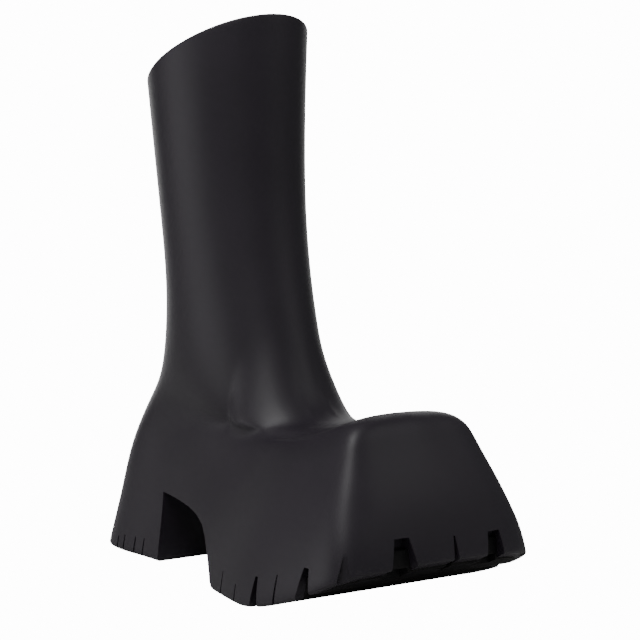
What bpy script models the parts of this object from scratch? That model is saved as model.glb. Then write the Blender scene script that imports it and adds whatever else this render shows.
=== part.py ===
"""Moulded rubber platform boot for the right foot, built from its separate pieces.

Units are metres.  +Z is up, the toe points toward -Y and X runs across the foot, with the outer
side at -X.  The boot stands on z = 0.

Every moulded surface is a bicubic spline over a net of rings.  A ring is laid out as twelve
stations that run from the middle of the heel round the outer side to the middle of the toe, and
is then mirrored.  Heights are listed from the ground up.
"""
import math

import bpy
import numpy as np

# ---------------------------------------------------------------- driving dimensions
GAP = 0.0003                  # clearance between pieces that touch
LAYER_GAP = 0.0006            # clearance between the curved layers under the foot

# outline of the sole on the ground, half widths and positions along the foot
HEEL_REAR_Y = 0.1310
HEEL_HALF = 0.0463
BREAST_Y = 0.0413             # front face of the heel block
BREAST_HALF = 0.0467
WAIST_HALF = 0.0535
TREAD_REAR_Y = -0.0610        # back corner of the forefoot platform
TREAD_REAR_HALF = 0.0744
BALL_Y = -0.1167
BALL_HALF = 0.0930
TOE_CORNER_Y = -0.2117
TOE_CORNER_HALF = 0.0924
TOE_FRONT_Y = -0.2218
TOE_SPRING = 0.0390           # lift of the sole at the toe
SPRING_START_Y = -0.1060

# how far the bell-shaped walls lean in, ring by ring above the ground
HEEL_LEAN = (0.0, 0.0030, 0.0071, 0.0089, 0.0135)
FORE_LEAN = (0.0, 0.0024, 0.0133, 0.0320, 0.0420)
REAR_LEAN = (0.0, 0.0026, 0.0073, 0.0167, 0.0255)
RING_RISE = (0.0, 0.0, 0.42, 0.76, 1.0)          # share of the crest height each ring reaches
RING_LIFT = (0.0, 0.0170, 0.0, 0.0, 0.0)         # and a fixed height on top of it
SPRING_SHARE = (1.0, 0.88, 0.65, 0.30, 0.0)      # part of the toe spring each ring follows
HEEL_CREST_Z = 0.0957
WAIST_CREST_Z = 0.1002
TOE_CREST_Z = 0.1376
CREST_DOME = 0.0036           # rise of the toe box crest at its middle

# valley behind the toe box crest, instep, ankle and shaft
VAMP_Y, VAMP_HALF, VAMP_Z = -0.1046, 0.0369, 0.1129
INSTEP_Y, INSTEP_HALF, INSTEP_Z = -0.0819, 0.0497, 0.1160
ROOT_REAR_Y, ROOT_REAR_Z = 0.0766, 0.1395
ANKLE_Z = 0.1994
SHAFT_FRONT_Y = (-0.0516, -0.0380, -0.0335, -0.0320)
SHAFT_REAR_Y = (0.0695, 0.0746, 0.0824, 0.0896)
SHAFT_HALF = (0.0483, 0.0512, 0.0542, 0.0580)
RIM_FRONT_Z = 0.4004
RIM_REAR_Z = 0.3402

# floor the foot stands on, and the hollow for the foot
FLOOR_HEEL_Z = 0.0800
FLOOR_BALL_Z = 0.0520
FLOOR_TOE_RISE = 0.0070
FLOOR_TOE_Y, FLOOR_TOE_RUN = -0.1200, 0.0650     # where the rise at the toe starts, and its length
RAMP_REAR_Y = 0.0300
RAMP_FRONT_Y = -0.0750
CAVITY_REAR_Y = 0.0830
CAVITY_TOE_Y = -0.1830
CAVITY_HEEL_HALF = 0.0330
CAVITY_WAIST_HALF = 0.0330
CAVITY_BALL_HALF = 0.0480
CAVITY_TOE_HALF = 0.0440
# rings of the hollow's wall: how much wider the foot outline, how much shorter at heel and toe
BULGE = (0.001, -0.002, 0.0)
SHOULDER = (-0.006, 0.001, 0.012)
LOW_RING_LIFT, BULGE_LIFT = 0.006, 0.022         # heights of the lowest rings above the floor
SHOULDER_HEEL_Z, SHOULDER_FORE_Z = 0.120, 0.097
ROOF_OVAL, ROOF_SHARE = (-0.102, 0.072, 0.034), 0.65
ROOF_HEEL_Z, ROOF_FORE_Z = 0.140, 0.1015
THROAT_WALL = (0.009, 0.006, 0.007)              # wall at the instep: front, rear and side
THROAT_HEEL_Z, THROAT_FORE_Z = 0.155, 0.116
SHAFT_WALL = 0.0040
LINING_DROP = 0.0040          # the lining stops this far below the rim
WALL_ROOT_LIFTS = (0.0, 0.0036, 0.0078)          # heights of the lowest rows above the floor

# layers inside the hollow, from the floor up
BOARD_THICK = 0.0025
SOCK_THICK = 0.0020
FOAM_THICK = 0.0060
COVER_THICK = 0.0015
STIFFENER_THICK = 0.0018
# grid columns a stiffener covers each side of the middle, and grid rows it reaches up
TOE_SPREAD, TOE_TOP_ROW = 7, 5
HEEL_SPREAD, HEEL_TOP_ROW = 7, 6
STIFFENER_EASE = 2.5          # grid steps over which the lining eases back to the wall
FOOTBED_INSET = 0.0056

# tread units and the blocks that fill the platform
SKIRT_WALL = 0.0080
TREAD_THICK = 0.0160
HEEL_TREAD_THICK = 0.0140
GROOVE_DEPTH = 0.0080
FORE_TREAD_REAR_Y = -0.0740
HEEL_TREAD_FRONT_Y = 0.0500
FILLER_REAR_Y, FILLER_FRONT_Y, FILLER_HALF = -0.0790, -0.1650, 0.0560
FILLER_COVER = 0.0090         # rubber left between the filler and the floor
CORE_FRONT_Y, CORE_REAR_Y, CORE_HALF = 0.0560, 0.1000, 0.0270
CORE_COVER = 0.0100

# arch gap between heel and forefoot: profile seen from the side
ARCH_PROFILE = (
    (0.0382, -0.010), (0.0425, 0.0508), (0.0285, 0.0497), (0.0160, 0.0486), (0.0010, 0.0468),
    (-0.0130, 0.0437), (-0.0250, 0.0388), (-0.0340, 0.0315), (-0.0460, 0.0180), (-0.0520, 0.0100),
    (-0.0548, 0.0050), (-0.0585, 0.0018), (-0.0640, 0.0002), (-0.0700, -0.010),
)

# notches in the side walls: position along the foot, width at the edge, width at the top, height
SIDE_NOTCHES = (
    (-0.0775, 0.0018, 0.0010, 0.0168),
    (-0.1010, 0.0015, 0.0010, 0.0130),
    (-0.1278, 0.0095, 0.0028, 0.0205),
    (-0.1510, 0.0022, 0.0012, 0.0200),
    (-0.1800, 0.0130, 0.0050, 0.0190),
)
# notches in the front wall: position across the foot, then as above
FRONT_NOTCHES = (
    (-0.0385, 0.0210, 0.0120, 0.0185),
    (0.0065, 0.0050, 0.0014, 0.0160),
    (0.0450, 0.0175, 0.0115, 0.0150),
)
CORNER_NOTCH = (0.0090, 0.0020, 0.0180)          # edge width, top width, height
CORNER_SPOT = (0.0830, -0.2090)
CORNER_TURN = math.radians(42.0)
HEEL_SLITS = (
    (0.0600, 0.0018, 0.0012, 0.0135),
    (0.0710, 0.0018, 0.0012, 0.0130),
    (0.0850, 0.0018, 0.0012, 0.0120),
    (0.0940, 0.0018, 0.0012, 0.0100),
)
NOTCH_REACH = 0.0115          # how far a notch runs into the wall

# steel shank, its rivets, and the fasteners of the heel
SHANK_REAR_Y, SHANK_FRONT_Y = 0.0540, -0.0930
SHANK_HALF = 0.0075
SHANK_THICK = 0.0016
RIVET_SPOTS = ((0.0, -0.0850), (0.0, 0.0440))
RIVET_RADIUS, RIVET_HEAD_RADIUS, RIVET_HEAD = 0.0015, 0.0030, 0.0008
SCREW_SPOT = (0.0, 0.0800)
SCREW_RADIUS, SCREW_HEAD_RADIUS, SCREW_HEAD, SCREW_LENGTH = 0.0025, 0.0055, 0.0014, 0.0380
NAIL_SPOTS = ((-0.0150, 0.0680), (0.0150, 0.0680), (-0.0150, 0.0920), (0.0150, 0.0920))
NAIL_RADIUS, NAIL_HEAD_RADIUS, NAIL_HEAD, NAIL_LENGTH = 0.0012, 0.0028, 0.0008, 0.0260
SCREW_TIP, NAIL_TIP, TIP_LENGTH = 0.0010, 0.0006, 0.0030
PIN_SIDES = 12
HEAD_STEP = 0.0001            # height over which a pin widens into its head
SHANK_DROP = 0.0002           # the shank's top lies this far below the hollow's floor
OVERCUT = 0.0040              # a clearance runs this far into the open space above the floor
RECESS_OVERCUT = 0.0060       # and the recesses this far below the sole
POCKET_OVERLAP, POCKET_CLEAR = 0.0020, 0.0010    # pockets start below, blocks above a tread's top
BOARD_INSET = 0.0008          # gap round the insole board
SWEEP_HALF = 0.1500           # half length of the cuts that cross the whole boot

# shares of each station in the shaping moves, from the middle of the heel to the middle of the toe
HEEL_SHARE = np.array([1, 1, 1, 1, 0.8, 0.35, 0, 0, 0, 0, 0, 0], float)
REAR_PULL = np.array([1, 0.95, 0.5, 0.1, 0, 0, 0, 0, 0, 0, 0, 0], float)
FRONT_PULL = np.array([0, 0, 0, 0, 0, 0, 0, 0, 0.12, 0.72, 0.98, 1.0], float)
WAIST_EASE = np.array([1, 1, 1, 1, 0.3, 0.25, 0.75, 0.85, 0.95, 1, 1, 1], float)
CREST_RISE = np.array([0, 0, 0, 0, 0, 0, 0.10, 0.28, 0.66, 1, 1, 1], float)
DOME_SHARE = np.array([0, 0, 0, 0, 0, 0, 0, 0, 0, 0.1, 0.8, 1.0], float)
VAMP_SHARE = np.array([0.45, 0.45, 0.45, 0.45, 0.5, 0.6, 0.75, 0.82, 0.82, 0.82, 0.82, 0.82])
WAIST_SAG = np.array([0, 0, 0, 0, 0.1, 0.6, 0.7, 0.5, 0.2, 0, 0, 0], float)
OVAL_ANGLES = np.radians([0, 24, 46, 66, 84, 100, 116, 130, 143, 155, 167.5, 180])


# ---------------------------------------------------------------- height laws along the foot
def spring_z(y):
    """Lift of the sole off the ground at y."""
    t = np.clip((SPRING_START_Y - y) / (SPRING_START_Y - TOE_FRONT_Y), 0.0, 1.2)
    return TOE_SPRING * t ** 1.6


def floor_z(y):
    """Height of the hollow's floor at y: heel seat, ramp, ball, slight rise at the toe."""
    t = np.clip((RAMP_REAR_Y - y) / (RAMP_REAR_Y - RAMP_FRONT_Y), 0.0, 1.0)
    ramp = 0.5 - 0.5 * np.cos(math.pi * t)
    toe = np.clip((FLOOR_TOE_Y - y) / FLOOR_TOE_RUN, 0.0, 1.0) ** 2
    return FLOOR_HEEL_Z + (FLOOR_BALL_Z - FLOOR_HEEL_Z) * ramp + FLOOR_TOE_RISE * toe


def rim_z(y, front_y=SHAFT_FRONT_Y[-1], rear_y=SHAFT_REAR_Y[-1]):
    """Height of the slanted top line at y."""
    t = (y - front_y) / (rear_y - front_y)
    return RIM_FRONT_Z + (RIM_REAR_Z - RIM_FRONT_Z) * t


# ---------------------------------------------------------------- rings and nets
def sole_outline():
    """Half outline of the sole on the ground."""
    mid_heel = 0.5 * (HEEL_HALF + BREAST_HALF)
    return np.array([
        (0.0, HEEL_REAR_Y),
        (HEEL_HALF * 0.72, HEEL_REAR_Y - 0.005),
        (HEEL_HALF, HEEL_REAR_Y - 0.032),
        (mid_heel, 0.5 * (HEEL_REAR_Y - 0.032 + BREAST_Y)),
        (BREAST_HALF, BREAST_Y),
        (WAIST_HALF, 0.55 * BREAST_Y + 0.45 * TREAD_REAR_Y + 0.006),
        (TREAD_REAR_HALF, TREAD_REAR_Y),
        (BALL_HALF, BALL_Y),
        (0.5 * (BALL_HALF + TOE_CORNER_HALF) + 0.0015, 0.5 * (BALL_Y + TOE_CORNER_Y) - 0.008),
        (TOE_CORNER_HALF, TOE_CORNER_Y),
        (TOE_CORNER_HALF * 0.62, TOE_FRONT_Y + 0.0035),
        (0.0, TOE_FRONT_Y),
    ])


def lean_in(outline, heel, fore, rear):
    """Move an outline inward by separate amounts at the heel, the forefoot and the rear."""
    out = outline.copy()
    side = HEEL_SHARE * heel + (1.0 - HEEL_SHARE) * fore * WAIST_EASE
    out[:, 0] -= side * np.clip(outline[:, 0] / 0.030, 0.0, 1.0)
    out[:, 1] += FRONT_PULL * fore - REAR_PULL * rear
    return out


def oval(front_y, rear_y, half_width):
    """Half of an oval shaft section."""
    middle = 0.5 * (front_y + rear_y)
    reach = 0.5 * (rear_y - front_y)
    return np.stack([half_width * np.sin(OVAL_ANGLES), middle + reach * np.cos(OVAL_ANGLES)], 1)


def mirror_ring(half, z):
    """Ring of points from a half outline and its heights; points on the middle stay single."""
    near = np.column_stack([-half[:, 0], half[:, 1], z])
    far = np.column_stack([half[:, 0], half[:, 1], z])[half[:, 0] > 1e-9]
    return np.vstack([near, far[::-1]])


def outer_net():
    """Control rings of the boot's outside, from the skirt edge to the rim."""
    outline = sole_outline()
    fore_crest = WAIST_CREST_Z + (TOE_CREST_Z - WAIST_CREST_Z) * CREST_RISE
    crest_z = HEEL_SHARE * HEEL_CREST_Z + (1.0 - HEEL_SHARE) * fore_crest
    rings = []
    for level in range(5):
        half = lean_in(outline, HEEL_LEAN[level], FORE_LEAN[level], REAR_LEAN[level])
        z = RING_LIFT[level] + RING_RISE[level] * crest_z
        z = z + SPRING_SHARE[level] * spring_z(outline[:, 1])
        z = z + (1.0 - SPRING_SHARE[level]) * CREST_DOME * DOME_SHARE
        rings.append(mirror_ring(half, z))
    crest = lean_in(outline, HEEL_LEAN[4], FORE_LEAN[4], REAR_LEAN[4])
    rings.append(vamp_ring(crest))
    instep = oval(INSTEP_Y, ROOT_REAR_Y, INSTEP_HALF)
    rings.append(mirror_ring(instep, HEEL_SHARE * ROOT_REAR_Z + (1.0 - HEEL_SHARE) * INSTEP_Z))
    top = rim_z(oval(SHAFT_FRONT_Y[3], SHAFT_REAR_Y[3], SHAFT_HALF[3])[:, 1])
    for level in range(4):
        half = oval(SHAFT_FRONT_Y[level], SHAFT_REAR_Y[level], SHAFT_HALF[level])
        rings.append(mirror_ring(half, ANKLE_Z + (top - ANKLE_Z) * level / 3.0))
    return np.array(rings)


def vamp_ring(crest):
    """Ring in the valley between the toe box crest and the instep."""
    inner = oval(VAMP_Y, ROOT_REAR_Y + 0.009, VAMP_HALF)
    share = VAMP_SHARE[:, None]
    half = crest * (1.0 - share) + inner * share
    heel_z = 0.5 * (HEEL_CREST_Z + ROOT_REAR_Z)
    waist_drop = WAIST_SAG * (WAIST_CREST_Z + 0.009 - VAMP_Z)
    return mirror_ring(half, HEEL_SHARE * heel_z + (1.0 - HEEL_SHARE) * VAMP_Z + waist_drop)


def foot_outline(widen, heel_in, toe_in):
    """Half outline of the foot hollow; widen grows it, heel_in and toe_in shorten it."""
    rear = CAVITY_REAR_Y - heel_in
    toe = CAVITY_TOE_Y + toe_in
    heel, waist = CAVITY_HEEL_HALF + widen, CAVITY_WAIST_HALF + widen
    ball, tip = CAVITY_BALL_HALF + widen, CAVITY_TOE_HALF + widen
    return np.array([
        (0.0, rear),
        (heel * 0.62, rear - 0.003),
        (heel, rear - 0.020),
        (heel, 0.040),
        (0.5 * (heel + waist) - 0.001, 0.012),
        (waist, -0.020),
        (0.5 * (waist + ball), -0.052),
        (ball, -0.085),
        (0.5 * (ball + tip) + 0.001, -0.122),
        (tip, toe + 0.030),
        (tip * 0.66, toe + 0.005),
        (0.0, toe),
    ])


def two_heights(heel_z, fore_z):
    """Height of each station, from the heel's height to the forefoot's."""
    return HEEL_SHARE * heel_z + (1.0 - HEEL_SHARE) * fore_z


def cavity_net():
    """Control rings of the hollow for the foot and leg, from the floor to the lining's top."""
    floor = foot_outline(0.0, 0.0, 0.0)
    base = floor_z(floor[:, 1])
    rings = [mirror_ring(floor, base), mirror_ring(floor, base + LOW_RING_LIFT)]
    rings.append(mirror_ring(foot_outline(*BULGE), base + BULGE_LIFT))
    shoulder = foot_outline(*SHOULDER)
    rings.append(mirror_ring(shoulder, two_heights(SHOULDER_HEEL_Z, SHOULDER_FORE_Z)))
    roof = shoulder * (1.0 - ROOF_SHARE) + oval(*ROOF_OVAL) * ROOF_SHARE
    rings.append(mirror_ring(roof, two_heights(ROOF_HEEL_Z, ROOF_FORE_Z)))
    front, rear, side = THROAT_WALL
    throat = oval(INSTEP_Y + front, ROOT_REAR_Y - rear, INSTEP_HALF - side)
    rings.append(mirror_ring(throat, two_heights(THROAT_HEEL_Z, THROAT_FORE_Z)))
    top_oval = oval(SHAFT_FRONT_Y[3] + SHAFT_WALL, SHAFT_REAR_Y[3] - SHAFT_WALL,
                    SHAFT_HALF[3] - SHAFT_WALL)
    top = rim_z(top_oval[:, 1]) - LINING_DROP
    for level in range(4):
        half = oval(SHAFT_FRONT_Y[level] + SHAFT_WALL, SHAFT_REAR_Y[level] - SHAFT_WALL,
                    SHAFT_HALF[level] - SHAFT_WALL)
        rings.append(mirror_ring(half, ANKLE_Z + (top - ANKLE_Z) * level / 3.0))
    return np.array(rings)


def spline_weights(t):
    """Uniform cubic B-spline weights."""
    return np.array([(1 - t) ** 3, 3 * t ** 3 - 6 * t ** 2 + 4,
                     -3 * t ** 3 + 3 * t ** 2 + 3 * t + 1, t ** 3]) / 6.0


def spline_grid(net, steps_around, steps_up):
    """Evaluate a net that closes on itself around and is open upward."""
    padded = np.concatenate([(2 * net[0] - net[1])[None], net, (2 * net[-1] - net[-2])[None]])
    rows = []
    for level in range(len(net) - 1):
        for step in range(steps_up):
            rows.append(np.tensordot(spline_weights(step / steps_up), padded[level:level + 4], 1))
    rows.append(net[-1])
    rows = np.array(rows)
    columns = []
    count = net.shape[1]
    for station in range(count):
        around = [rows[:, (station + k) % count] for k in (-1, 0, 1, 2)]
        for step in range(steps_around):
            columns.append(np.tensordot(spline_weights(step / steps_around), np.array(around), 1))
    return np.stack(columns, 1)


def settle(grid, law, lifts):
    """Put the lowest rows of a grid at exact heights above a law of height along y."""
    for row, lift in enumerate(lifts):
        grid[row, :, 2] = law(grid[row, :, 1]) + lift
    return grid


def grid_normals(grid):
    """Outward unit normals of a ring grid."""
    around = np.roll(grid, -1, 1) - np.roll(grid, 1, 1)
    upward = np.gradient(grid, axis=0)
    normals = np.cross(around, upward)
    normals /= np.linalg.norm(normals, axis=2, keepdims=True)
    outward = ((grid - grid.mean(axis=1, keepdims=True)) * normals).sum(2).mean()
    return normals if outward > 0 else -normals


def inward(grid, depth):
    """Grid moved in along its normals; depth is a number or one value per point."""
    depth = np.broadcast_to(depth, grid.shape[:2])[..., None]
    return grid - grid_normals(grid) * depth


# ---------------------------------------------------------------- meshes
def make_object(name, points, faces, finish=None):
    """New mesh object with faces that all point outward."""
    mesh = bpy.data.meshes.new(name)
    mesh.from_pydata([tuple(map(float, p)) for p in points], [], faces)
    mesh.validate()
    obj = bpy.data.objects.new(name, mesh)
    bpy.context.scene.collection.objects.link(obj)
    if signed_volume(mesh) < 0.0:
        mesh.flip_normals()
    if finish is not None:
        mesh.materials.append(finish)
    return obj


def signed_volume(mesh):
    """Volume of a closed mesh; negative when its faces point inward."""
    mesh.calc_loop_triangles()
    total = 0.0
    for tri in mesh.loop_triangles:
        a, b, c = (mesh.vertices[i].co for i in tri.vertices)
        total += a.dot(b.cross(c))
    return total / 6.0


def ring_faces(rows, columns, first=0, flip=False):
    """Quads of a tube whose rows close on themselves."""
    faces = []
    for row in range(rows - 1):
        for column in range(columns):
            a = first + row * columns + column
            b = first + row * columns + (column + 1) % columns
            quad = (a, b, b + columns, a + columns)
            faces.append(quad[::-1] if flip else quad)
    return faces


def cap_faces(first, columns, flip=False):
    """Cap over one mirrored ring, built from strips that run across the foot."""
    half = columns // 2
    faces = [(first, first + 1, first + columns - 1)]
    for k in range(1, half - 1):
        faces.append((first + k, first + k + 1, first + columns - k - 1, first + columns - k))
    faces.append((first + half - 1, first + half, first + half + 1))
    return [face[::-1] for face in faces] if flip else faces


def block(name, grid, finish=None):
    """Solid inside one ring grid, closed by caps at its two ends."""
    rows, columns = grid.shape[:2]
    faces = ring_faces(rows, columns)
    faces += cap_faces(0, columns, flip=True)
    faces += cap_faces((rows - 1) * columns, columns)
    return make_object(name, grid.reshape(-1, 3), faces, finish)


def cup(name, outside, inside, finish):
    """Open-topped shell between two ring grids that share their layout."""
    rows, columns = outside.shape[:2]
    second = rows * columns
    faces = ring_faces(rows, columns) + ring_faces(rows, columns, second, flip=True)
    faces += cap_faces(0, columns, flip=True) + cap_faces(second, columns)
    top = (rows - 1) * columns
    for column in range(columns):
        a, b = top + column, top + (column + 1) % columns
        faces.append((a, b, second + b, second + a))
    points = np.vstack([outside.reshape(-1, 3), inside.reshape(-1, 3)])
    return make_object(name, points, faces, finish)


def patch(name, outside, inside, finish):
    """Solid plate between two open grids that share their layout."""
    rows, columns = outside.shape[:2]
    second = rows * columns

    def index(layer, row, column):
        return layer * second + row * columns + column

    faces = []
    for row in range(rows - 1):
        for column in range(columns - 1):
            quad = [(row, column), (row, column + 1), (row + 1, column + 1), (row + 1, column)]
            faces.append(tuple(index(0, *corner) for corner in quad))
            faces.append(tuple(index(1, *corner) for corner in quad[::-1]))
    border = [(0, c) for c in range(columns - 1)]
    border += [(r, columns - 1) for r in range(rows - 1)]
    border += [(rows - 1, c) for c in range(columns - 1, 0, -1)]
    border += [(r, 0) for r in range(rows - 1, 0, -1)]
    for start, end in zip(border, border[1:] + border[:1]):
        faces.append((index(0, *end), index(0, *start), index(1, *start), index(1, *end)))
    points = np.vstack([outside.reshape(-1, 3), inside.reshape(-1, 3)])
    return make_object(name, points, faces, finish)


def plate(name, half, low, high, finish=None):
    """Plate with a mirrored outline; low and high give its lower and upper height along y."""
    bottom = mirror_ring(half, low(half[:, 1]))
    top = mirror_ring(half, high(half[:, 1]))
    count = len(bottom)
    faces = ring_faces(2, count)
    faces += strip_cap(bottom, 0)
    faces += [face[::-1] for face in strip_cap(top, count)]
    return make_object(name, np.vstack([bottom, top]), faces, finish)


def strip_cap(ring, first):
    """Strips that join each point of a mirrored ring to its partner on the other side."""
    count = len(ring)
    pointed = abs(ring[0, 0]) < 1e-9
    left, right = (1, count - 1) if pointed else (0, count - 1)
    faces = [(first + 1, first, first + count - 1)] if pointed else []
    while right - left > 2:
        faces.append((first + left + 1, first + left, first + right, first + right - 1))
        left, right = left + 1, right - 1
    if right - left == 2:
        faces.append((first + left + 1, first + left, first + right))
    return faces


def prism(profile, start, end, axis):
    """Points and faces of a profile swept along one axis ('X' or 'Y')."""
    points = []
    for reach in (start, end):
        for along, height in profile:
            points.append((reach, along, height) if axis == 'X' else (along, reach, height))
    count = len(profile)
    faces = [tuple(range(count))[::-1], tuple(range(count, 2 * count))]
    for k in range(count):
        after = (k + 1) % count
        faces.append((k, after, count + after, count + k))
    return points, faces


def stack_prisms(name, prisms):
    """One cutter object from several prisms that do not meet, each turned outward."""
    points, faces = [], []
    for own_points, own_faces in prisms:
        first = len(points)
        centre = np.mean(own_points, axis=0)
        corners = np.array([own_points[i] for i in own_faces[0][:3]])
        normal = np.cross(corners[1] - corners[0], corners[2] - corners[0])
        flip = np.dot(normal, corners[0] - centre) < 0.0
        points += own_points
        for face in own_faces:
            face = tuple(first + i for i in face)
            faces.append(face[::-1] if flip else face)
    return make_object(name, points, faces)


def round_bar(name, spot, levels, finish, sides):
    """Turned piece on a vertical axis; levels are (z, radius) pairs from the bottom up."""
    points = []
    for z, radius in levels:
        for k in range(sides):
            angle = 2.0 * math.pi * (k + 0.5) / sides
            points.append((spot[0] + radius * math.cos(angle),
                           spot[1] + radius * math.sin(angle), z))
    faces = ring_faces(len(levels), sides)
    faces.append(tuple(range(sides))[::-1])
    faces.append(tuple(range((len(levels) - 1) * sides, len(levels) * sides)))
    return make_object(name, points, faces, finish)


def cut(target, cutter):
    """Subtract the cutter from the target and discard the cutter."""
    modifier = target.modifiers.new("cut", 'BOOLEAN')
    modifier.operation = 'DIFFERENCE'
    modifier.solver = 'EXACT'
    modifier.object = cutter
    graph = bpy.context.evaluated_depsgraph_get()
    result = bpy.data.meshes.new_from_object(target.evaluated_get(graph))
    target.modifiers.clear()
    target.data = result
    result.name = target.name
    bpy.data.objects.remove(cutter, do_unlink=True)


def material(name, colour, roughness, metallic=0.0):
    """Plain Principled material."""
    made = bpy.data.materials.new(name)
    made.use_nodes = True
    shader = made.node_tree.nodes["Principled BSDF"]
    shader.inputs["Base Color"].default_value = (*colour, 1.0)
    shader.inputs["Roughness"].default_value = roughness
    shader.inputs["Metallic"].default_value = metallic
    made.diffuse_color = (*colour, 1.0)
    return made


# ---------------------------------------------------------------- outlines sampled from the grids
def half_ring(grid_row):
    """Outer half of one evaluated ring as (half width, y), heel middle first."""
    half = grid_row[:len(grid_row) // 2 + 1]
    return np.column_stack([np.abs(half[:, 0]), half[:, 1]])


def shrink(half, depth):
    """Half outline moved inward by depth along its normals in plan."""
    full = np.vstack([half, (half * (-1.0, 1.0))[1:-1][::-1]])
    along = np.roll(full, -1, 0) - np.roll(full, 1, 0)
    normal = np.column_stack([along[:, 1], -along[:, 0]])
    normal /= np.linalg.norm(normal, axis=1, keepdims=True)
    if ((full - full.mean(axis=0)) * normal).sum() < 0.0:
        normal = -normal
    moved = (full - normal * depth)[:len(half)]
    moved[0, 0] = 0.0
    moved[-1, 0] = 0.0
    return moved


def trim_rear(half, limit):
    """Keep the part of a half outline in front of the limit, with a straight rear edge."""
    ahead = half[half[:, 1] < limit - 0.002]
    width = np.interp(limit, half[::-1, 1], half[::-1, 0])
    return np.vstack([(width, limit), ahead])


def trim_front(half, limit):
    """Keep the part of a half outline behind the limit, with a straight front edge."""
    behind = half[half[:, 1] > limit + 0.002]
    width = np.interp(limit, half[::-1, 1], half[::-1, 0])
    return np.vstack([behind, (width, limit)])


def soft_box(front_y, rear_y, half_width, steps=6):
    """Half outline of a rounded block."""
    angles = np.linspace(0.0, math.pi, 2 * steps + 1)
    middle, reach = 0.5 * (front_y + rear_y), 0.5 * (rear_y - front_y)
    power = 0.55
    width = half_width * np.abs(np.sin(angles)) ** power
    width[0] = width[-1] = 0.0
    along = middle + reach * np.sign(np.cos(angles)) * np.abs(np.cos(angles)) ** power
    return np.column_stack([width, along])


# ---------------------------------------------------------------- cutters
def notch_profile(centre, edge_width, top_width, height, law, drop=0.006):
    """Wedge that starts below the sole's edge and narrows upward."""
    base = float(law(np.array(centre)))
    steep = 0.5 * (edge_width - top_width) / height
    low = 0.5 * edge_width + steep * drop
    return [(centre - low, base - drop), (centre + low, base - drop),
            (centre + 0.5 * top_width, base + height), (centre - 0.5 * top_width, base + height)]


def side_notch_cutter(rows, half, law):
    """Wedges through both side walls at the listed positions along the foot."""
    prisms = []
    for centre, edge_width, top_width, height in rows:
        profile = notch_profile(centre, edge_width, top_width, height, law)
        wide = np.interp(centre, half[::-1, 1], half[::-1, 0])
        for side in (-1.0, 1.0):
            prisms.append(prism(profile, side * (wide - NOTCH_REACH), side * (wide + 0.020), 'X'))
    return stack_prisms("side_notches", prisms)


def front_notch_cutter():
    """Wedges through the front wall at the listed positions across the foot."""
    prisms = []
    lift = float(spring_z(np.array(TOE_FRONT_Y)))
    for centre, edge_width, top_width, height in FRONT_NOTCHES:
        profile = notch_profile(centre, edge_width, top_width, height, lambda x: lift + 0.0 * x)
        prisms.append(prism(profile, TOE_FRONT_Y + NOTCH_REACH + 0.003, TOE_FRONT_Y - 0.02, 'Y'))
    return stack_prisms("front_notches", prisms)


def corner_notch_cutter():
    """Wedges through the two front corners of the wall, square to the corner."""
    prisms = []
    edge_width, top_width, height = CORNER_NOTCH
    for side in (-1.0, 1.0):
        lift = float(spring_z(np.array(CORNER_SPOT[1])))
        profile = notch_profile(0.0, edge_width, top_width, height, lambda x: lift + 0.0 * x)
        points, faces = prism(profile, -0.004, 0.025, 'X')
        cos, sin = math.cos(CORNER_TURN), math.sin(CORNER_TURN)
        turned = []
        for out, along, z in points:
            x = CORNER_SPOT[0] + out * cos + along * sin
            y = CORNER_SPOT[1] - out * sin + along * cos
            turned.append((side * x, y, z))
        prisms.append((turned, faces))
    return stack_prisms("corner_notches", prisms)


def cross_groove_cutter(rows, law, depth):
    """Grooves right across a tread unit, in line with the side notches."""
    prisms = []
    for centre, edge_width, top_width, height in rows:
        taper = (edge_width - top_width) * depth / height
        profile = notch_profile(centre, edge_width, edge_width - taper, depth, law)
        prisms.append(prism(profile, -SWEEP_HALF, SWEEP_HALF, 'X'))
    return stack_prisms("cross_grooves", prisms)


def front_groove_cutter():
    """Short grooves at the toe of the tread unit, in line with the front notches."""
    prisms = []
    lift = float(spring_z(np.array(TOE_FRONT_Y + 0.02)))
    for centre, edge_width, _, _ in FRONT_NOTCHES:
        profile = notch_profile(centre, edge_width, 0.8 * edge_width, GROOVE_DEPTH,
                                lambda x: lift + 0.0 * x, drop=0.012)
        prisms.append(prism(profile, TOE_FRONT_Y + 0.019, TOE_FRONT_Y - 0.02, 'Y'))
    return stack_prisms("front_grooves", prisms)


def arch_cutter():
    """The gap between heel and forefoot, swept right across the boot."""
    return stack_prisms("arch_gap", [prism(list(ARCH_PROFILE), -SWEEP_HALF, SWEEP_HALF, 'X')])


# ---------------------------------------------------------------- pieces
def headed_pin(name, spot, radius, head_radius, head, length, tip, finish):
    """Screw or nail whose head is flush with the top of the insole board."""
    top = float(floor_z(np.array(spot[1]))) + BOARD_THICK
    levels = [(top - length, tip), (top - length + TIP_LENGTH, radius),
              (top - head - HEAD_STEP, radius), (top - head, head_radius), (top, head_radius)]
    return round_bar(name, spot, levels, finish, PIN_SIDES)


def pin_hole(spot, radius, head_radius, head, length):
    """Clearance round a screw or nail, open at its top."""
    top = float(floor_z(np.array(spot[1]))) + BOARD_THICK
    levels = [(top - length - 2 * GAP, radius + GAP), (top - head - HEAD_STEP - GAP, radius + GAP),
              (top - head - GAP, head_radius + GAP), (top + OVERCUT, head_radius + GAP)]
    return round_bar("hole", spot, levels, None, PIN_SIDES)


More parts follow.
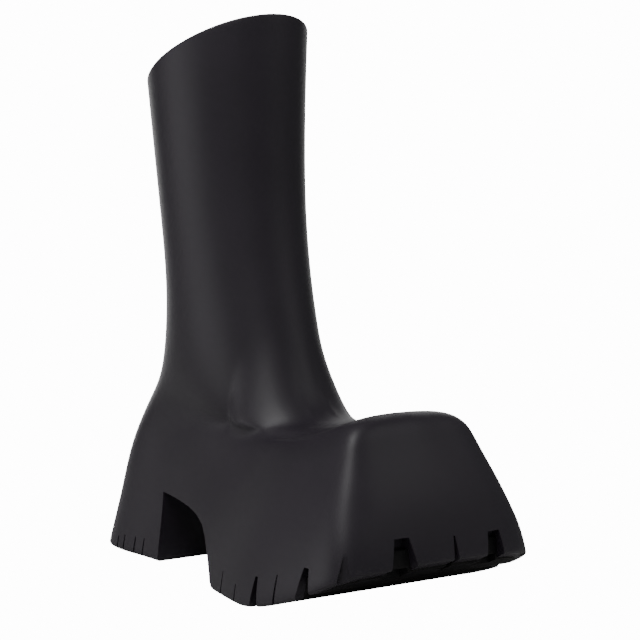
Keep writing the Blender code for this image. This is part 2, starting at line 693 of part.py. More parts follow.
def rivet_levels(spot, grow):
    """Rivet through shank and board; grow adds clearance for its hole."""
    top = float(floor_z(np.array(spot[1]))) + BOARD_THICK
    low = float(shank_low(np.array(spot[1]))) - GAP
    wide = RIVET_HEAD_RADIUS + grow
    stem = RIVET_RADIUS + grow
    over = OVERCUT if grow else 0.0
    return [(low - RIVET_HEAD - grow, wide), (low + grow, wide), (low + grow + HEAD_STEP, stem),
            (top - RIVET_HEAD - grow - HEAD_STEP, stem), (top - RIVET_HEAD - grow, wide),
            (top + over, wide)]


def shank_half():
    """Half outline of the steel shank with rounded ends."""
    return soft_box(SHANK_FRONT_Y, SHANK_REAR_Y, SHANK_HALF, steps=9)


def shank_low(y):
    """Height of the shank's underside at y."""
    return floor_z(y) - SHANK_DROP - SHANK_THICK


def shank_high(y):
    """Height of the shank's top at y."""
    return floor_z(y) - SHANK_DROP


def build_shell(outer, cavity, sole_half, finish):
    """One-piece moulded upper: outside skin, hollows, recesses, arch gap and notches."""
    shell = block("upper_shell", outer, finish)
    lift = cavity[-1] + (0.0, 0.0, 0.030)
    cut(shell, block("foot_hollow", np.concatenate([cavity, lift[None]])))
    cut(shell, arch_cutter())
    for name, half, low, high in pocket_plan(sole_half, 0.0):
        cut(shell, plate(name, half, low, high))
    cut(shell, side_notch_cutter(SIDE_NOTCHES, sole_half, spring_z))
    cut(shell, front_notch_cutter())
    cut(shell, corner_notch_cutter())
    cut(shell, side_notch_cutter(HEEL_SLITS, sole_half, spring_z))
    recess = shrink(shank_half(), -GAP)
    cut(shell, plate("shank_recess", recess, lambda y: shank_low(y) - GAP,
                     lambda y: floor_z(y) + OVERCUT))
    cut_fastener_holes(shell, rivets=True)
    return shell


def pocket_plan(sole_half, gap):
    """Recesses for the treads and blocks; gap shrinks them into the pieces that fill them."""
    fore = trim_rear(shrink(sole_half, SKIRT_WALL + gap), FORE_TREAD_REAR_Y - gap)
    heel = trim_front(shrink(sole_half, SKIRT_WALL + gap), HEEL_TREAD_FRONT_Y + gap)
    filler = shrink(soft_box(FILLER_FRONT_Y, FILLER_REAR_Y, FILLER_HALF), gap)
    core = shrink(soft_box(CORE_FRONT_Y, CORE_REAR_Y, CORE_HALF), gap)
    below = -RECESS_OVERCUT if gap == 0.0 else 0.0
    base = -POCKET_OVERLAP if gap == 0.0 else POCKET_CLEAR
    return (
        ("fore_recess", fore, lambda y: spring_z(y) + below,
         lambda y: spring_z(y) + TREAD_THICK - gap),
        ("heel_recess", heel, lambda y: 0.0 * y + below, lambda y: 0.0 * y + HEEL_TREAD_THICK - gap),
        ("filler_pocket", filler, lambda y: spring_z(y) + TREAD_THICK + base,
         lambda y: floor_z(y) - FILLER_COVER - gap),
        ("core_pocket", core, lambda y: 0.0 * y + HEEL_TREAD_THICK + base,
         lambda y: floor_z(y) - CORE_COVER - gap),
    )


def cut_fastener_holes(target, rivets):
    """Clear the way for the heel screw and nails, and for the rivets where asked."""
    cut(target, pin_hole(SCREW_SPOT, SCREW_RADIUS, SCREW_HEAD_RADIUS, SCREW_HEAD, SCREW_LENGTH))
    for spot in NAIL_SPOTS:
        cut(target, pin_hole(spot, NAIL_RADIUS, NAIL_HEAD_RADIUS, NAIL_HEAD, NAIL_LENGTH))
    if rivets:
        for spot in RIVET_SPOTS:
            cut(target, round_bar("hole", spot, rivet_levels(spot, GAP), None, PIN_SIDES))


def stiffener_zone(columns, centre, spread):
    """One for ring columns near the centre column, falling smoothly to zero."""
    index = np.arange(columns)
    away = np.abs((index - centre + columns // 2) % columns - columns // 2)
    return np.clip((spread + STIFFENER_EASE - away) / STIFFENER_EASE, 0.0, 1.0)


def lining_depth(shape):
    """Depth of the lining behind the hollow's wall, deeper where a stiffener sits."""
    rows, columns = shape
    toe = stiffener_zone(columns, columns // 2, TOE_SPREAD)
    heel = stiffener_zone(columns, 0, HEEL_SPREAD)
    depth = np.full(shape, GAP)
    extra = STIFFENER_THICK + GAP
    for zone, top in ((toe, TOE_TOP_ROW), (heel, HEEL_TOP_ROW)):
        fade = np.clip((top + STIFFENER_EASE - np.arange(rows)) / STIFFENER_EASE, 0.0, 1.0)
        depth += extra * np.outer(fade, zone)
    return depth


def build_lining(cavity, finish):
    """Sock lining bonded inside the hollow, closed under the foot."""
    wall = cavity[1:].copy()
    outside = inward(wall, lining_depth(wall.shape[:2]))
    outside[0, :, 2] = floor_z(outside[0, :, 1]) + GAP + BOARD_THICK + LAYER_GAP
    inside = inward(outside, SOCK_THICK)
    inside[0, :, 2] = outside[0, :, 2] + SOCK_THICK
    inside[-1, :, 2] = outside[-1, :, 2]
    return cup("sock_lining", outside, inside, finish)


def build_stiffener(name, cavity, centre, spread, top_row, finish):
    """Thin curved plate between the moulded wall and the lining."""
    columns = cavity.shape[1]
    pick = [(centre + k) % columns for k in range(-spread, spread + 1)]
    outer_full = inward(cavity, GAP)
    inner_full = inward(cavity, GAP + STIFFENER_THICK)
    rows = slice(2, top_row + 1)
    return patch(name, outer_full[rows][:, pick], inner_full[rows][:, pick], finish)


def build_footbed(floor_half, finishes):
    """Insole board, foam footbed and its cover, stacked from the floor of the hollow."""
    board = plate("insole_board", shrink(floor_half, BOARD_INSET), lambda y: floor_z(y) + GAP,
                  lambda y: floor_z(y) + GAP + BOARD_THICK, finishes["board"])
    cut_fastener_holes(board, rivets=True)
    bed = shrink(floor_half, FOOTBED_INSET)
    foam_low = GAP + BOARD_THICK + SOCK_THICK + 2 * LAYER_GAP
    foam_high = foam_low + FOAM_THICK
    plate("footbed_foam", bed, lambda y: floor_z(y) + foam_low,
          lambda y: floor_z(y) + foam_high, finishes["foam"])
    cover_low = foam_high + GAP
    plate("footbed_cover", bed, lambda y: floor_z(y) + cover_low,
          lambda y: floor_z(y) + cover_low + COVER_THICK, finishes["cover"])


def build_sole_units(sole_half, finishes):
    """Tread units and the blocks above them."""
    fore, heel, filler, core = pocket_plan(sole_half, GAP)
    tread = plate("forefoot_outsole", fore[1], fore[2], fore[3], finishes["tread"])
    cut(tread, cross_groove_cutter(SIDE_NOTCHES, spring_z, GROOVE_DEPTH))
    cut(tread, front_groove_cutter())
    heel_tread = plate("heel_top_piece", heel[1], heel[2], heel[3], finishes["tread"])
    cut(heel_tread, cross_groove_cutter(HEEL_SLITS, spring_z, GROOVE_DEPTH))
    plate("forefoot_filler", filler[1], filler[2], filler[3], finishes["filler"])
    heel_core = plate("heel_core", core[1], core[2], core[3], finishes["core"])
    cut_fastener_holes(heel_core, rivets=False)


def build_hardware(finishes):
    """Shank, rivets, heel screw and nails."""
    shank = plate("shank", shank_half(), shank_low, shank_high, finishes["steel"])
    for spot in RIVET_SPOTS:
        cut(shank, round_bar("hole", spot, rivet_levels(spot, GAP), None, PIN_SIDES))
    for name, spot in zip(("shank_rivet_front", "shank_rivet_rear"), RIVET_SPOTS):
        round_bar(name, spot, rivet_levels(spot, 0.0), finishes["steel"], PIN_SIDES)
    headed_pin("heel_screw", SCREW_SPOT, SCREW_RADIUS, SCREW_HEAD_RADIUS, SCREW_HEAD,
               SCREW_LENGTH, SCREW_TIP, finishes["steel"])
    for number, spot in enumerate(NAIL_SPOTS, start=1):
        headed_pin("heel_nail_%d" % number, spot, NAIL_RADIUS, NAIL_HEAD_RADIUS, NAIL_HEAD,
                   NAIL_LENGTH, NAIL_TIP, finishes["steel"])


def centre_on_origin():
    """Shift every piece so the middle of the boot's footprint is the origin."""
    shell = bpy.data.objects["upper_shell"].data
    ys = [vertex.co.y for vertex in shell.vertices]
    middle = 0.5 * (min(ys) + max(ys))
    for obj in bpy.data.objects:
        for vertex in obj.data.vertices:
            vertex.co.y -= middle


def main():
    for obj in list(bpy.data.objects):
        bpy.data.objects.remove(obj, do_unlink=True)
    finishes = {
        "rubber": material("black_rubber", (0.028, 0.027, 0.029), 0.5),
        "tread": material("tread_rubber", (0.018, 0.018, 0.019), 0.7),
        "lining": material("knit_lining", (0.045, 0.045, 0.048), 0.95),
        "board": material("fibreboard", (0.33, 0.24, 0.15), 0.85),
        "foam": material("footbed_foam", (0.12, 0.12, 0.13), 0.9),
        "cover": material("footbed_cloth", (0.05, 0.05, 0.055), 0.95),
        "stiffener": material("stiffener_board", (0.42, 0.36, 0.27), 0.8),
        "filler": material("filler_foam", (0.60, 0.58, 0.54), 0.9),
        "core": material("heel_core_plastic", (0.10, 0.10, 0.11), 0.6),
        "steel": material("steel", (0.56, 0.57, 0.58), 0.35, 1.0),
    }
    outer = settle(spline_grid(outer_net(), 3, 3), spring_z, (0.0,))
    cavity = settle(spline_grid(cavity_net(), 2, 2), floor_z, WALL_ROOT_LIFTS)
    sole_half = half_ring(outer[0])
    floor_half = half_ring(cavity[0])
    build_shell(outer, cavity, sole_half, finishes["rubber"])
    build_lining(cavity, finishes["lining"])
    columns = cavity.shape[1]
    build_stiffener("toe_puff", cavity, columns // 2, TOE_SPREAD, TOE_TOP_ROW,
                    finishes["stiffener"])
    build_stiffener("heel_counter", cavity, 0, HEEL_SPREAD, HEEL_TOP_ROW, finishes["stiffener"])
    build_footbed(floor_half, finishes)
    build_sole_units(sole_half, finishes)
    build_hardware(finishes)
    centre_on_origin()


main()
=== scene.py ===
"""Moulded rubber platform boot: its looks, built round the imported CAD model.

Units are metres.  The shape laws are the ones the CAD model was built from, evaluated on a finer
grid and given the creases, rounded edges and tread of the real boot.  They are written with the
middle of the shaft near y = 0; every finished piece is then shifted into the CAD frame.
"""
import math

import bmesh
import bpy
import numpy as np
from mathutils import Matrix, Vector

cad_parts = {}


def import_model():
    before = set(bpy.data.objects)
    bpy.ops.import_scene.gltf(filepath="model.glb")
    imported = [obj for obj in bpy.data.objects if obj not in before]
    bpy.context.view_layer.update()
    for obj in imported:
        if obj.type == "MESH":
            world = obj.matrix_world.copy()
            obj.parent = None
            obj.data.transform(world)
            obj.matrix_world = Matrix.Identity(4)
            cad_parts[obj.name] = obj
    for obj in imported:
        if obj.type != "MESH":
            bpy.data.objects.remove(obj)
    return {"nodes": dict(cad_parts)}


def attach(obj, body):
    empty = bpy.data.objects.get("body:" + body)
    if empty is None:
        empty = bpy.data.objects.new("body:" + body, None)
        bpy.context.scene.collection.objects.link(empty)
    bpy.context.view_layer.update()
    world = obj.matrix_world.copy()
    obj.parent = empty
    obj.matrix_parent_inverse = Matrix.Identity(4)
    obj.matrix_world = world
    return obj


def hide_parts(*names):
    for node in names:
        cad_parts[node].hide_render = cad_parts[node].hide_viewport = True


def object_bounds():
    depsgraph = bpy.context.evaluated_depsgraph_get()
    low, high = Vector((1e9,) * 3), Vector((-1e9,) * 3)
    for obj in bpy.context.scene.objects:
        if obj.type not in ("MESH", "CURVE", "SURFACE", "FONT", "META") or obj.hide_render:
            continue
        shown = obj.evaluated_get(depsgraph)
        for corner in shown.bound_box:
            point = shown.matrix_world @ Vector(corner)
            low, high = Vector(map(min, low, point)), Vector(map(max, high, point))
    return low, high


# ---------------------------------------------------------------- driving dimensions (CAD)
GAP = 0.0003
LAYER_GAP = 0.0006

HEEL_REAR_Y = 0.1310
HEEL_HALF = 0.0463
BREAST_Y = 0.0413
BREAST_HALF = 0.0467
WAIST_HALF = 0.0535
TREAD_REAR_Y = -0.0610
TREAD_REAR_HALF = 0.0744
BALL_Y = -0.1167
BALL_HALF = 0.0930
TOE_CORNER_Y = -0.2117
TOE_CORNER_HALF = 0.0924
TOE_FRONT_Y = -0.2218
TOE_SPRING = 0.0390
SPRING_START_Y = -0.1060
SPRING_POWER, SPRING_LIMIT = 1.6, 1.2            # its curve, which runs on a little past the toe

# how far each ring leans in, from the sole's edge up to the crest
HEEL_LEAN = (0.0, 0.0030, 0.0071, 0.0089, 0.0135)
FORE_LEAN = (0.0, 0.0024, 0.0133, 0.0320, 0.0420)
REAR_LEAN = (0.0, 0.0026, 0.0073, 0.0167, 0.0255)
LEAN_HALF = 0.030                                # half width from which the sides lean in fully
RING_RISE = (0.0, 0.0, 0.42, 0.76, 1.0)          # share of the crest height each ring reaches
RING_LIFT = (0.0, 0.0170, 0.0, 0.0, 0.0)         # and a fixed height on top of it
SPRING_SHARE = (1.0, 0.88, 0.65, 0.30, 0.0)      # share of the toe spring that it follows
HEEL_CREST_Z = 0.0957
WAIST_CREST_Z = 0.1002
TOE_CREST_Z = 0.1376
CREST_DOME = 0.0036

VAMP_Y, VAMP_HALF, VAMP_Z = -0.1046, 0.0369, 0.1129
VAMP_REAR_OUT = 0.0090                           # the vamp ring's oval ends this far behind the root
WAIST_RISE = 0.0090                              # and at the waist it lies this far above the crest
INSTEP_Y, INSTEP_HALF, INSTEP_Z = -0.0819, 0.0497, 0.1160
ROOT_REAR_Y, ROOT_REAR_Z = 0.0766, 0.1395
ANKLE_Z = 0.1994
SHAFT_FRONT_Y = (-0.0516, -0.0380, -0.0335, -0.0320)
SHAFT_REAR_Y = (0.0695, 0.0746, 0.0824, 0.0896)
SHAFT_HALF = (0.0483, 0.0512, 0.0542, 0.0580)
RIM_FRONT_Z = 0.4004
RIM_REAR_Z = 0.3402

FLOOR_HEEL_Z = 0.0800
FLOOR_BALL_Z = 0.0520
FLOOR_TOE_RISE = 0.0070
FLOOR_TOE_Y, FLOOR_TOE_RUN = -0.1200, 0.0650     # where the rise at the toe starts, and its length
RAMP_REAR_Y = 0.0300
RAMP_FRONT_Y = -0.0750
CAVITY_REAR_Y = 0.0830
CAVITY_TOE_Y = -0.1830
CAVITY_HEEL_HALF = 0.0330
CAVITY_WAIST_HALF = 0.0330
CAVITY_BALL_HALF = 0.0480
CAVITY_TOE_HALF = 0.0440
# rings of the hollow's wall: how much wider the foot outline, how much shorter at heel and toe
BULGE = (0.001, -0.002, 0.0)
SHOULDER = (-0.006, 0.001, 0.012)
LOW_RING_LIFT, BULGE_LIFT = 0.006, 0.022         # heights of the lowest rings above the floor
SHOULDER_HEEL_Z, SHOULDER_FORE_Z = 0.120, 0.097
ROOF_OVAL, ROOF_SHARE = (-0.102, 0.072, 0.034), 0.65
ROOF_HEEL_Z, ROOF_FORE_Z = 0.140, 0.1015
THROAT_WALL = (0.009, 0.006, 0.007)              # wall at the instep: front, rear and side
THROAT_HEEL_Z, THROAT_FORE_Z = 0.155, 0.116
SHAFT_WALL = 0.0040
LINING_DROP = 0.0040

BOARD_THICK = 0.0025
SOCK_THICK = 0.0020
FOAM_THICK = 0.0060
COVER_THICK = 0.0015
FOOTBED_INSET = 0.0056

SKIRT_WALL = 0.0080
TREAD_THICK = 0.0160
HEEL_TREAD_THICK = 0.0140
GROOVE_DEPTH = 0.0080
FORE_TREAD_REAR_Y = -0.0740
HEEL_TREAD_FRONT_Y = 0.0500

ARCH_PROFILE = (
    (0.0382, -0.010), (0.0425, 0.0508), (0.0285, 0.0497), (0.0160, 0.0486), (0.0010, 0.0468),
    (-0.0130, 0.0437), (-0.0250, 0.0388), (-0.0340, 0.0315), (-0.0460, 0.0180), (-0.0520, 0.0100),
    (-0.0548, 0.0050), (-0.0585, 0.0018), (-0.0640, 0.0002), (-0.0700, -0.010),
)
# notches in the skirt: (place along the wall, width at the edge, width at its top, height)
SIDE_NOTCHES = (
    (-0.0775, 0.0018, 0.0010, 0.0168),
    (-0.1010, 0.0015, 0.0010, 0.0130),
    (-0.1278, 0.0095, 0.0028, 0.0205),
    (-0.1510, 0.0022, 0.0012, 0.0200),
    (-0.1800, 0.0130, 0.0050, 0.0190),
)
FRONT_NOTCHES = (
    (-0.0385, 0.0210, 0.0120, 0.0185),
    (0.0065, 0.0050, 0.0014, 0.0160),
    (0.0450, 0.0175, 0.0115, 0.0150),
)
CORNER_NOTCH = (0.0090, 0.0020, 0.0180)  # its place is the corner spot, as (half width, y)
CORNER_SPOT = (0.0830, -0.2090)
CORNER_TURN = math.radians(42.0)
HEEL_SLITS = (
    (0.0600, 0.0018, 0.0012, 0.0135),
    (0.0710, 0.0018, 0.0012, 0.0130),
    (0.0850, 0.0018, 0.0012, 0.0120),
    (0.0940, 0.0018, 0.0012, 0.0100),
)
NOTCH_REACH, FRONT_EXTRA_REACH = 0.0115, 0.0030  # depth into the wall, and more at the front
NOTCH_DROP = 0.0060                      # the wedges start this far below the edge
CORNER_NOTCH_START, CORNER_NOTCH_END = -0.0040, 0.0250
FRONT_GROOVE_START, FRONT_GROOVE_DROP, FRONT_GROOVE_TAPER = 0.0190, 0.0120, 0.8
FRONT_GROOVE_LEVEL = 0.0200              # their height is the sole's this far behind the toe

# one value per station of a half outline, from the middle of the heel to the middle of the toe
HEEL_SHARE = np.array([1, 1, 1, 1, 0.8, 0.35, 0, 0, 0, 0, 0, 0], float)
REAR_PULL = np.array([1, 0.95, 0.5, 0.1, 0, 0, 0, 0, 0, 0, 0, 0], float)
FRONT_PULL = np.array([0, 0, 0, 0, 0, 0, 0, 0, 0.12, 0.72, 0.98, 1.0], float)
WAIST_EASE = np.array([1, 1, 1, 1, 0.3, 0.25, 0.75, 0.85, 0.95, 1, 1, 1], float)
CREST_RISE = np.array([0, 0, 0, 0, 0, 0, 0.10, 0.28, 0.66, 1, 1, 1], float)
DOME_SHARE = np.array([0, 0, 0, 0, 0, 0, 0, 0, 0, 0.1, 0.8, 1.0], float)
VAMP_SHARE = np.array([0.45, 0.45, 0.45, 0.45, 0.5, 0.6, 0.75, 0.82, 0.82, 0.82, 0.82, 0.82])
WAIST_SAG = np.array([0, 0, 0, 0, 0.1, 0.6, 0.7, 0.5, 0.2, 0, 0, 0], float)
OVAL_ANGLES = np.radians([0, 24, 46, 66, 84, 100, 116, 130, 143, 155, 167.5, 180])

FILLER_REAR_Y, FILLER_FRONT_Y, FILLER_HALF = -0.0790, -0.1650, 0.0560
FILLER_COVER = 0.0090
CORE_FRONT_Y, CORE_REAR_Y, CORE_HALF = 0.0560, 0.1000, 0.0270
CORE_COVER = 0.0100
SHANK_REAR_Y, SHANK_FRONT_Y = 0.0540, -0.0930
SHANK_HALF = 0.0075
SHANK_THICK = 0.0016
RIVET_SPOTS = ((0.0, -0.0850), (0.0, 0.0440))
RIVET_RADIUS, RIVET_HEAD_RADIUS, RIVET_HEAD = 0.0015, 0.0030, 0.0008
SCREW_SPOT = (0.0, 0.0800)
SCREW_RADIUS, SCREW_HEAD_RADIUS, SCREW_HEAD, SCREW_LENGTH = 0.0025, 0.0055, 0.0014, 0.0380
NAIL_SPOTS = ((-0.0150, 0.0680), (0.0150, 0.0680), (-0.0150, 0.0920), (0.0150, 0.0920))
NAIL_RADIUS, NAIL_HEAD_RADIUS, NAIL_HEAD, NAIL_LENGTH = 0.0012, 0.0028, 0.0008, 0.0260
PIN_SIDES = 12
HEAD_STEP = 0.0001            # height over which a pin widens into its head
SHANK_DROP = 0.0002           # the shank's top lies this far below the hollow's floor
SOFT_POWER = 0.55             # 1 makes a rounded block an ellipse, 0 a rectangle
TRIM_MARGIN = 0.0020          # outline points this close to a straight edge are dropped
OVERCUT = 0.0040              # a clearance runs this far into the open space above the floor
RECESS_OVERCUT = 0.0060       # and the recesses this far below the sole
POCKET_OVERLAP = 0.0020       # the pockets start this far inside the recesses
SWEEP_HALF = 0.1500           # half length of the cuts that cross the whole boot
WALL_CLEAR = 0.0200           # cuts through a wall end this far outside it
STIFFENER_THICK = 0.0018
# CAD grid columns a stiffener covers each side of the middle, and grid rows it reaches up
TOE_SPREAD, TOE_TOP_ROW = 7, 5
HEEL_SPREAD, HEEL_TOP_ROW = 7, 6
STIFFENER_EASE = 2.5          # grid steps over which the lining eases back to the wall
CAD_STEPS, CAD_OUTSIDE_STEPS = 2, 3      # the CAD's grid lines per station: hollow and outside

# ---------------------------------------------------------------- looks-only dimensions
AROUND_STEPS, UP_STEPS = 12, 12          # grid lines per station and per ring of the outside
EDGE_ROUND = 0.0022                      # radius under the skirt
SKIRT_CLEARANCE = 1.3                    # first grid row kept above it, in radii
RIM_ROUND = 0.0013                       # radius of the rim's two edges
FILLET_POINTS, INNER_POINTS = 6, 5       # points across a rounded edge, outside and inside
HOLLOW_OVERRUN = 0.0200                  # the hollow's cutter ends this far above the rim
SCUFF_HEIGHT = 0.0140                    # scuffs fade out this far above the sole's edge
HOLLOW_STEPS = 6                         # grid lines per station and ring of the hollow

# front corner, as (half width, y, z) from the crest down to the skirt, eased back a little
CORNER_LINE = ((0.0500, -0.1790, 0.1240), (0.0560, -0.1860, 0.1120), (0.0650, -0.1970, 0.0860),
               (0.0720, -0.2045, 0.0640))
CORNER_EASE, CORNER_WIDTH = 0.0012, 0.0140
CORNER_LEVELS = (0.050, 0.080)           # heights between which the easing sets in

# valley just above the crest of the side walls
VALLEY_DEPTH = 0.0022
VALLEY_LEVELS = (4.00, 4.50, 5.20)       # rings at which it starts, is deepest and ends
VALLEY_Y = (-0.066, -0.100)              # fades in between these positions

# raised pad on each side of the instep: its rear edge is a crease, given as y by height
CREASE_HEIGHTS = (0.105, 0.125, 0.140, 0.152, 0.166, 0.185, 0.205)
CREASE_Y = (-0.0295, -0.0350, -0.0380, -0.0400, -0.0430, -0.0455, -0.0470)
PAD_LEVELS = (3.95, 5.40, 6.85)          # rings at which the pad starts, is thickest and ends
PAD_RISE, PAD_EDGE = 0.0078, 0.0240      # its thickness, reached this far ahead of the crease
PAD_HOLD, PAD_REACH = 0.0220, 0.0690     # distances ahead of the crease where it thins out
PAD_MIDDLE = (0.006, 0.026)              # half widths between which it fades in
FURROW, FURROW_WIDTH = 0.0010, 0.0060    # groove along the crease
# short ridge near the middle of the instep
INSTEP_RIDGE = ((0.0080, -0.0780, 0.1340), (0.0100, -0.0890, 0.1210))
INSTEP_RIDGE_RISE, INSTEP_RIDGE_WIDTH = 0.0005, 0.0032

# lining: grid lines per station and ring, hem height as a share of the whole, hem's extra
# thickness and the slope of its top edge
LINING_STEPS = 8
HEM_SHARE = (0.028, 0.036)
HEM_THICKER, HEM_SLOPE = 0.0006, 0.0004
# footbed: grid points across it, how far its edge turns up, and the half width it ends at
BED_POINTS, BED_CUP, BED_END_HALF = 25, 0.0012, 0.0040
CUP_POWER, SPACING_POWER = 5, 0.85       # how sharply it turns up, and how its points crowd
KNIT_WALES, KNIT_COURSE = 260.0, 0.0013  # columns of stitches round the leg, height of a row
WEAVE_PITCH = 0.0011                     # two threads of the footbed's cloth

# ---------------------------------------------------------------- camera and light
CAMERA_PLACE = (-0.9984, -1.2024, 0.3305)
CAMERA_AZIMUTH, CAMERA_ELEVATION, CAMERA_ROLL = -40.59, 5.35, 1.36
CAMERA_LENS, SENSOR_WIDTH = 124.0, 36.0
AMBIENT, BACKDROP = 0.14, 14.0
FLOOR_REACH = 6.0
LIGHT_TARGET = (0.0, 0.02, 0.18)
# softboxes: azimuth and elevation seen from the boot, distance, size, power
LIGHTS = (
    ("high_left", -82.0, 60.0, 1.6, (1.1, 0.9), 18.0),
    ("low_left", -118.0, 4.0, 1.6, (1.2, 0.4), 4.0),
    ("rear_left", 160.0, 6.0, 1.6, (0.9, 0.9), 7.2),
    ("front_fill", 36.0, 35.0, 1.6, (0.9, 0.9), 2.8),
    ("right_rim", 122.0, 10.0, 1.6, (0.6, 1.3), 3.8),
    ("key", -48.0, 38.0, 1.6, (0.9, 0.9), 1.4),
)


def spring_z(y):
    """Lift of the sole off the ground at y."""
    t = np.clip((SPRING_START_Y - y) / (SPRING_START_Y - TOE_FRONT_Y), 0.0, SPRING_LIMIT)
    return TOE_SPRING * t ** SPRING_POWER


def floor_z(y):
    """Height of the hollow's floor at y: heel seat, ramp, ball, slight rise at the toe."""
    t = np.clip((RAMP_REAR_Y - y) / (RAMP_REAR_Y - RAMP_FRONT_Y), 0.0, 1.0)
    ramp = 0.5 - 0.5 * np.cos(math.pi * t)
    toe = np.clip((FLOOR_TOE_Y - y) / FLOOR_TOE_RUN, 0.0, 1.0) ** 2
    return FLOOR_HEEL_Z + (FLOOR_BALL_Z - FLOOR_HEEL_Z) * ramp + FLOOR_TOE_RISE * toe


def rim_z(y, front_y=SHAFT_FRONT_Y[-1], rear_y=SHAFT_REAR_Y[-1]):
    """Height of the slanted top line at y."""
    t = (y - front_y) / (rear_y - front_y)
    return RIM_FRONT_Z + (RIM_REAR_Z - RIM_FRONT_Z) * t


def sole_outline():
    """Half outline of the sole on the ground."""
    mid_heel = 0.5 * (HEEL_HALF + BREAST_HALF)
    return np.array([
        (0.0, HEEL_REAR_Y),
        (HEEL_HALF * 0.72, HEEL_REAR_Y - 0.005),
        (HEEL_HALF, HEEL_REAR_Y - 0.032),
        (mid_heel, 0.5 * (HEEL_REAR_Y - 0.032 + BREAST_Y)),
        (BREAST_HALF, BREAST_Y),
        (WAIST_HALF, 0.55 * BREAST_Y + 0.45 * TREAD_REAR_Y + 0.006),
        (TREAD_REAR_HALF, TREAD_REAR_Y),
        (BALL_HALF, BALL_Y),
        (0.5 * (BALL_HALF + TOE_CORNER_HALF) + 0.0015, 0.5 * (BALL_Y + TOE_CORNER_Y) - 0.008),
        (TOE_CORNER_HALF, TOE_CORNER_Y),
        (TOE_CORNER_HALF * 0.62, TOE_FRONT_Y + 0.0035),
        (0.0, TOE_FRONT_Y),
    ])


def lean_in(outline, heel, fore, rear):
    """Move an outline inward by separate amounts at the heel, the forefoot and the rear."""
    out = outline.copy()
    side = HEEL_SHARE * heel + (1.0 - HEEL_SHARE) * fore * WAIST_EASE
    out[:, 0] -= side * np.clip(outline[:, 0] / LEAN_HALF, 0.0, 1.0)
    out[:, 1] += FRONT_PULL * fore - REAR_PULL * rear
    return out


def oval(front_y, rear_y, half_width):
    """Half of an oval shaft section."""
    middle = 0.5 * (front_y + rear_y)
    reach = 0.5 * (rear_y - front_y)
    return np.stack([half_width * np.sin(OVAL_ANGLES), middle + reach * np.cos(OVAL_ANGLES)], 1)


def mirror_ring(half, z):
    """Ring of points from a half outline and its heights; points on the middle stay single."""
    near = np.column_stack([-half[:, 0], half[:, 1], z])
    far = np.column_stack([half[:, 0], half[:, 1], z])[half[:, 0] > 1e-9]
    return np.vstack([near, far[::-1]])


def shaft_rings(wall, drop):
    """Rings from the ankle to the top line, moved in by wall and ending drop below the rim."""
    sections = [oval(front + wall, rear - wall, half - wall)
                for front, rear, half in zip(SHAFT_FRONT_Y, SHAFT_REAR_Y, SHAFT_HALF)]
    reach = rim_z(sections[-1][:, 1]) - drop - ANKLE_Z
    return [mirror_ring(section, ANKLE_Z + reach * level / 3.0)
            for level, section in enumerate(sections)]


def two_heights(heel_z, fore_z):
    """Height of each station, from the heel's height to the forefoot's."""
    return HEEL_SHARE * heel_z + (1.0 - HEEL_SHARE) * fore_z


def outer_net():
    """Control rings of the boot's outside, from the skirt edge to the rim."""
    outline = sole_outline()
    fore_crest = WAIST_CREST_Z + (TOE_CREST_Z - WAIST_CREST_Z) * CREST_RISE
    crest_z = two_heights(HEEL_CREST_Z, fore_crest)
    rings = []
    for level in range(5):
        half = lean_in(outline, HEEL_LEAN[level], FORE_LEAN[level], REAR_LEAN[level])
        z = RING_LIFT[level] + RING_RISE[level] * crest_z
        z = z + SPRING_SHARE[level] * spring_z(outline[:, 1])
        z = z + (1.0 - SPRING_SHARE[level]) * CREST_DOME * DOME_SHARE
        rings.append(mirror_ring(half, z))
    crest = lean_in(outline, HEEL_LEAN[4], FORE_LEAN[4], REAR_LEAN[4])
    rings.append(vamp_ring(crest))
    instep = oval(INSTEP_Y, ROOT_REAR_Y, INSTEP_HALF)
    rings.append(mirror_ring(instep, two_heights(ROOT_REAR_Z, INSTEP_Z)))
    return np.array(rings + shaft_rings(0.0, 0.0))


def vamp_ring(crest):
    """Ring in the valley between the toe box crest and the instep."""
    inner = oval(VAMP_Y, ROOT_REAR_Y + VAMP_REAR_OUT, VAMP_HALF)
    share = VAMP_SHARE[:, None]
    half = crest * (1.0 - share) + inner * share
    heel_z = 0.5 * (HEEL_CREST_Z + ROOT_REAR_Z)
    waist_drop = WAIST_SAG * (WAIST_CREST_Z + WAIST_RISE - VAMP_Z)
    return mirror_ring(half, two_heights(heel_z, VAMP_Z) + waist_drop)


def foot_outline(widen, heel_in, toe_in):
    """Half outline of the foot hollow; widen grows it, heel_in and toe_in shorten it."""
    rear = CAVITY_REAR_Y - heel_in
    toe = CAVITY_TOE_Y + toe_in
    heel, waist = CAVITY_HEEL_HALF + widen, CAVITY_WAIST_HALF + widen
    ball, tip = CAVITY_BALL_HALF + widen, CAVITY_TOE_HALF + widen
    return np.array([
        (0.0, rear),
        (heel * 0.62, rear - 0.003),
        (heel, rear - 0.020),
        (heel, 0.040),
        (0.5 * (heel + waist) - 0.001, 0.012),
        (waist, -0.020),
        (0.5 * (waist + ball), -0.052),
        (ball, -0.085),
        (0.5 * (ball + tip) + 0.001, -0.122),
        (tip, toe + 0.030),
        (tip * 0.66, toe + 0.005),
        (0.0, toe),
    ])


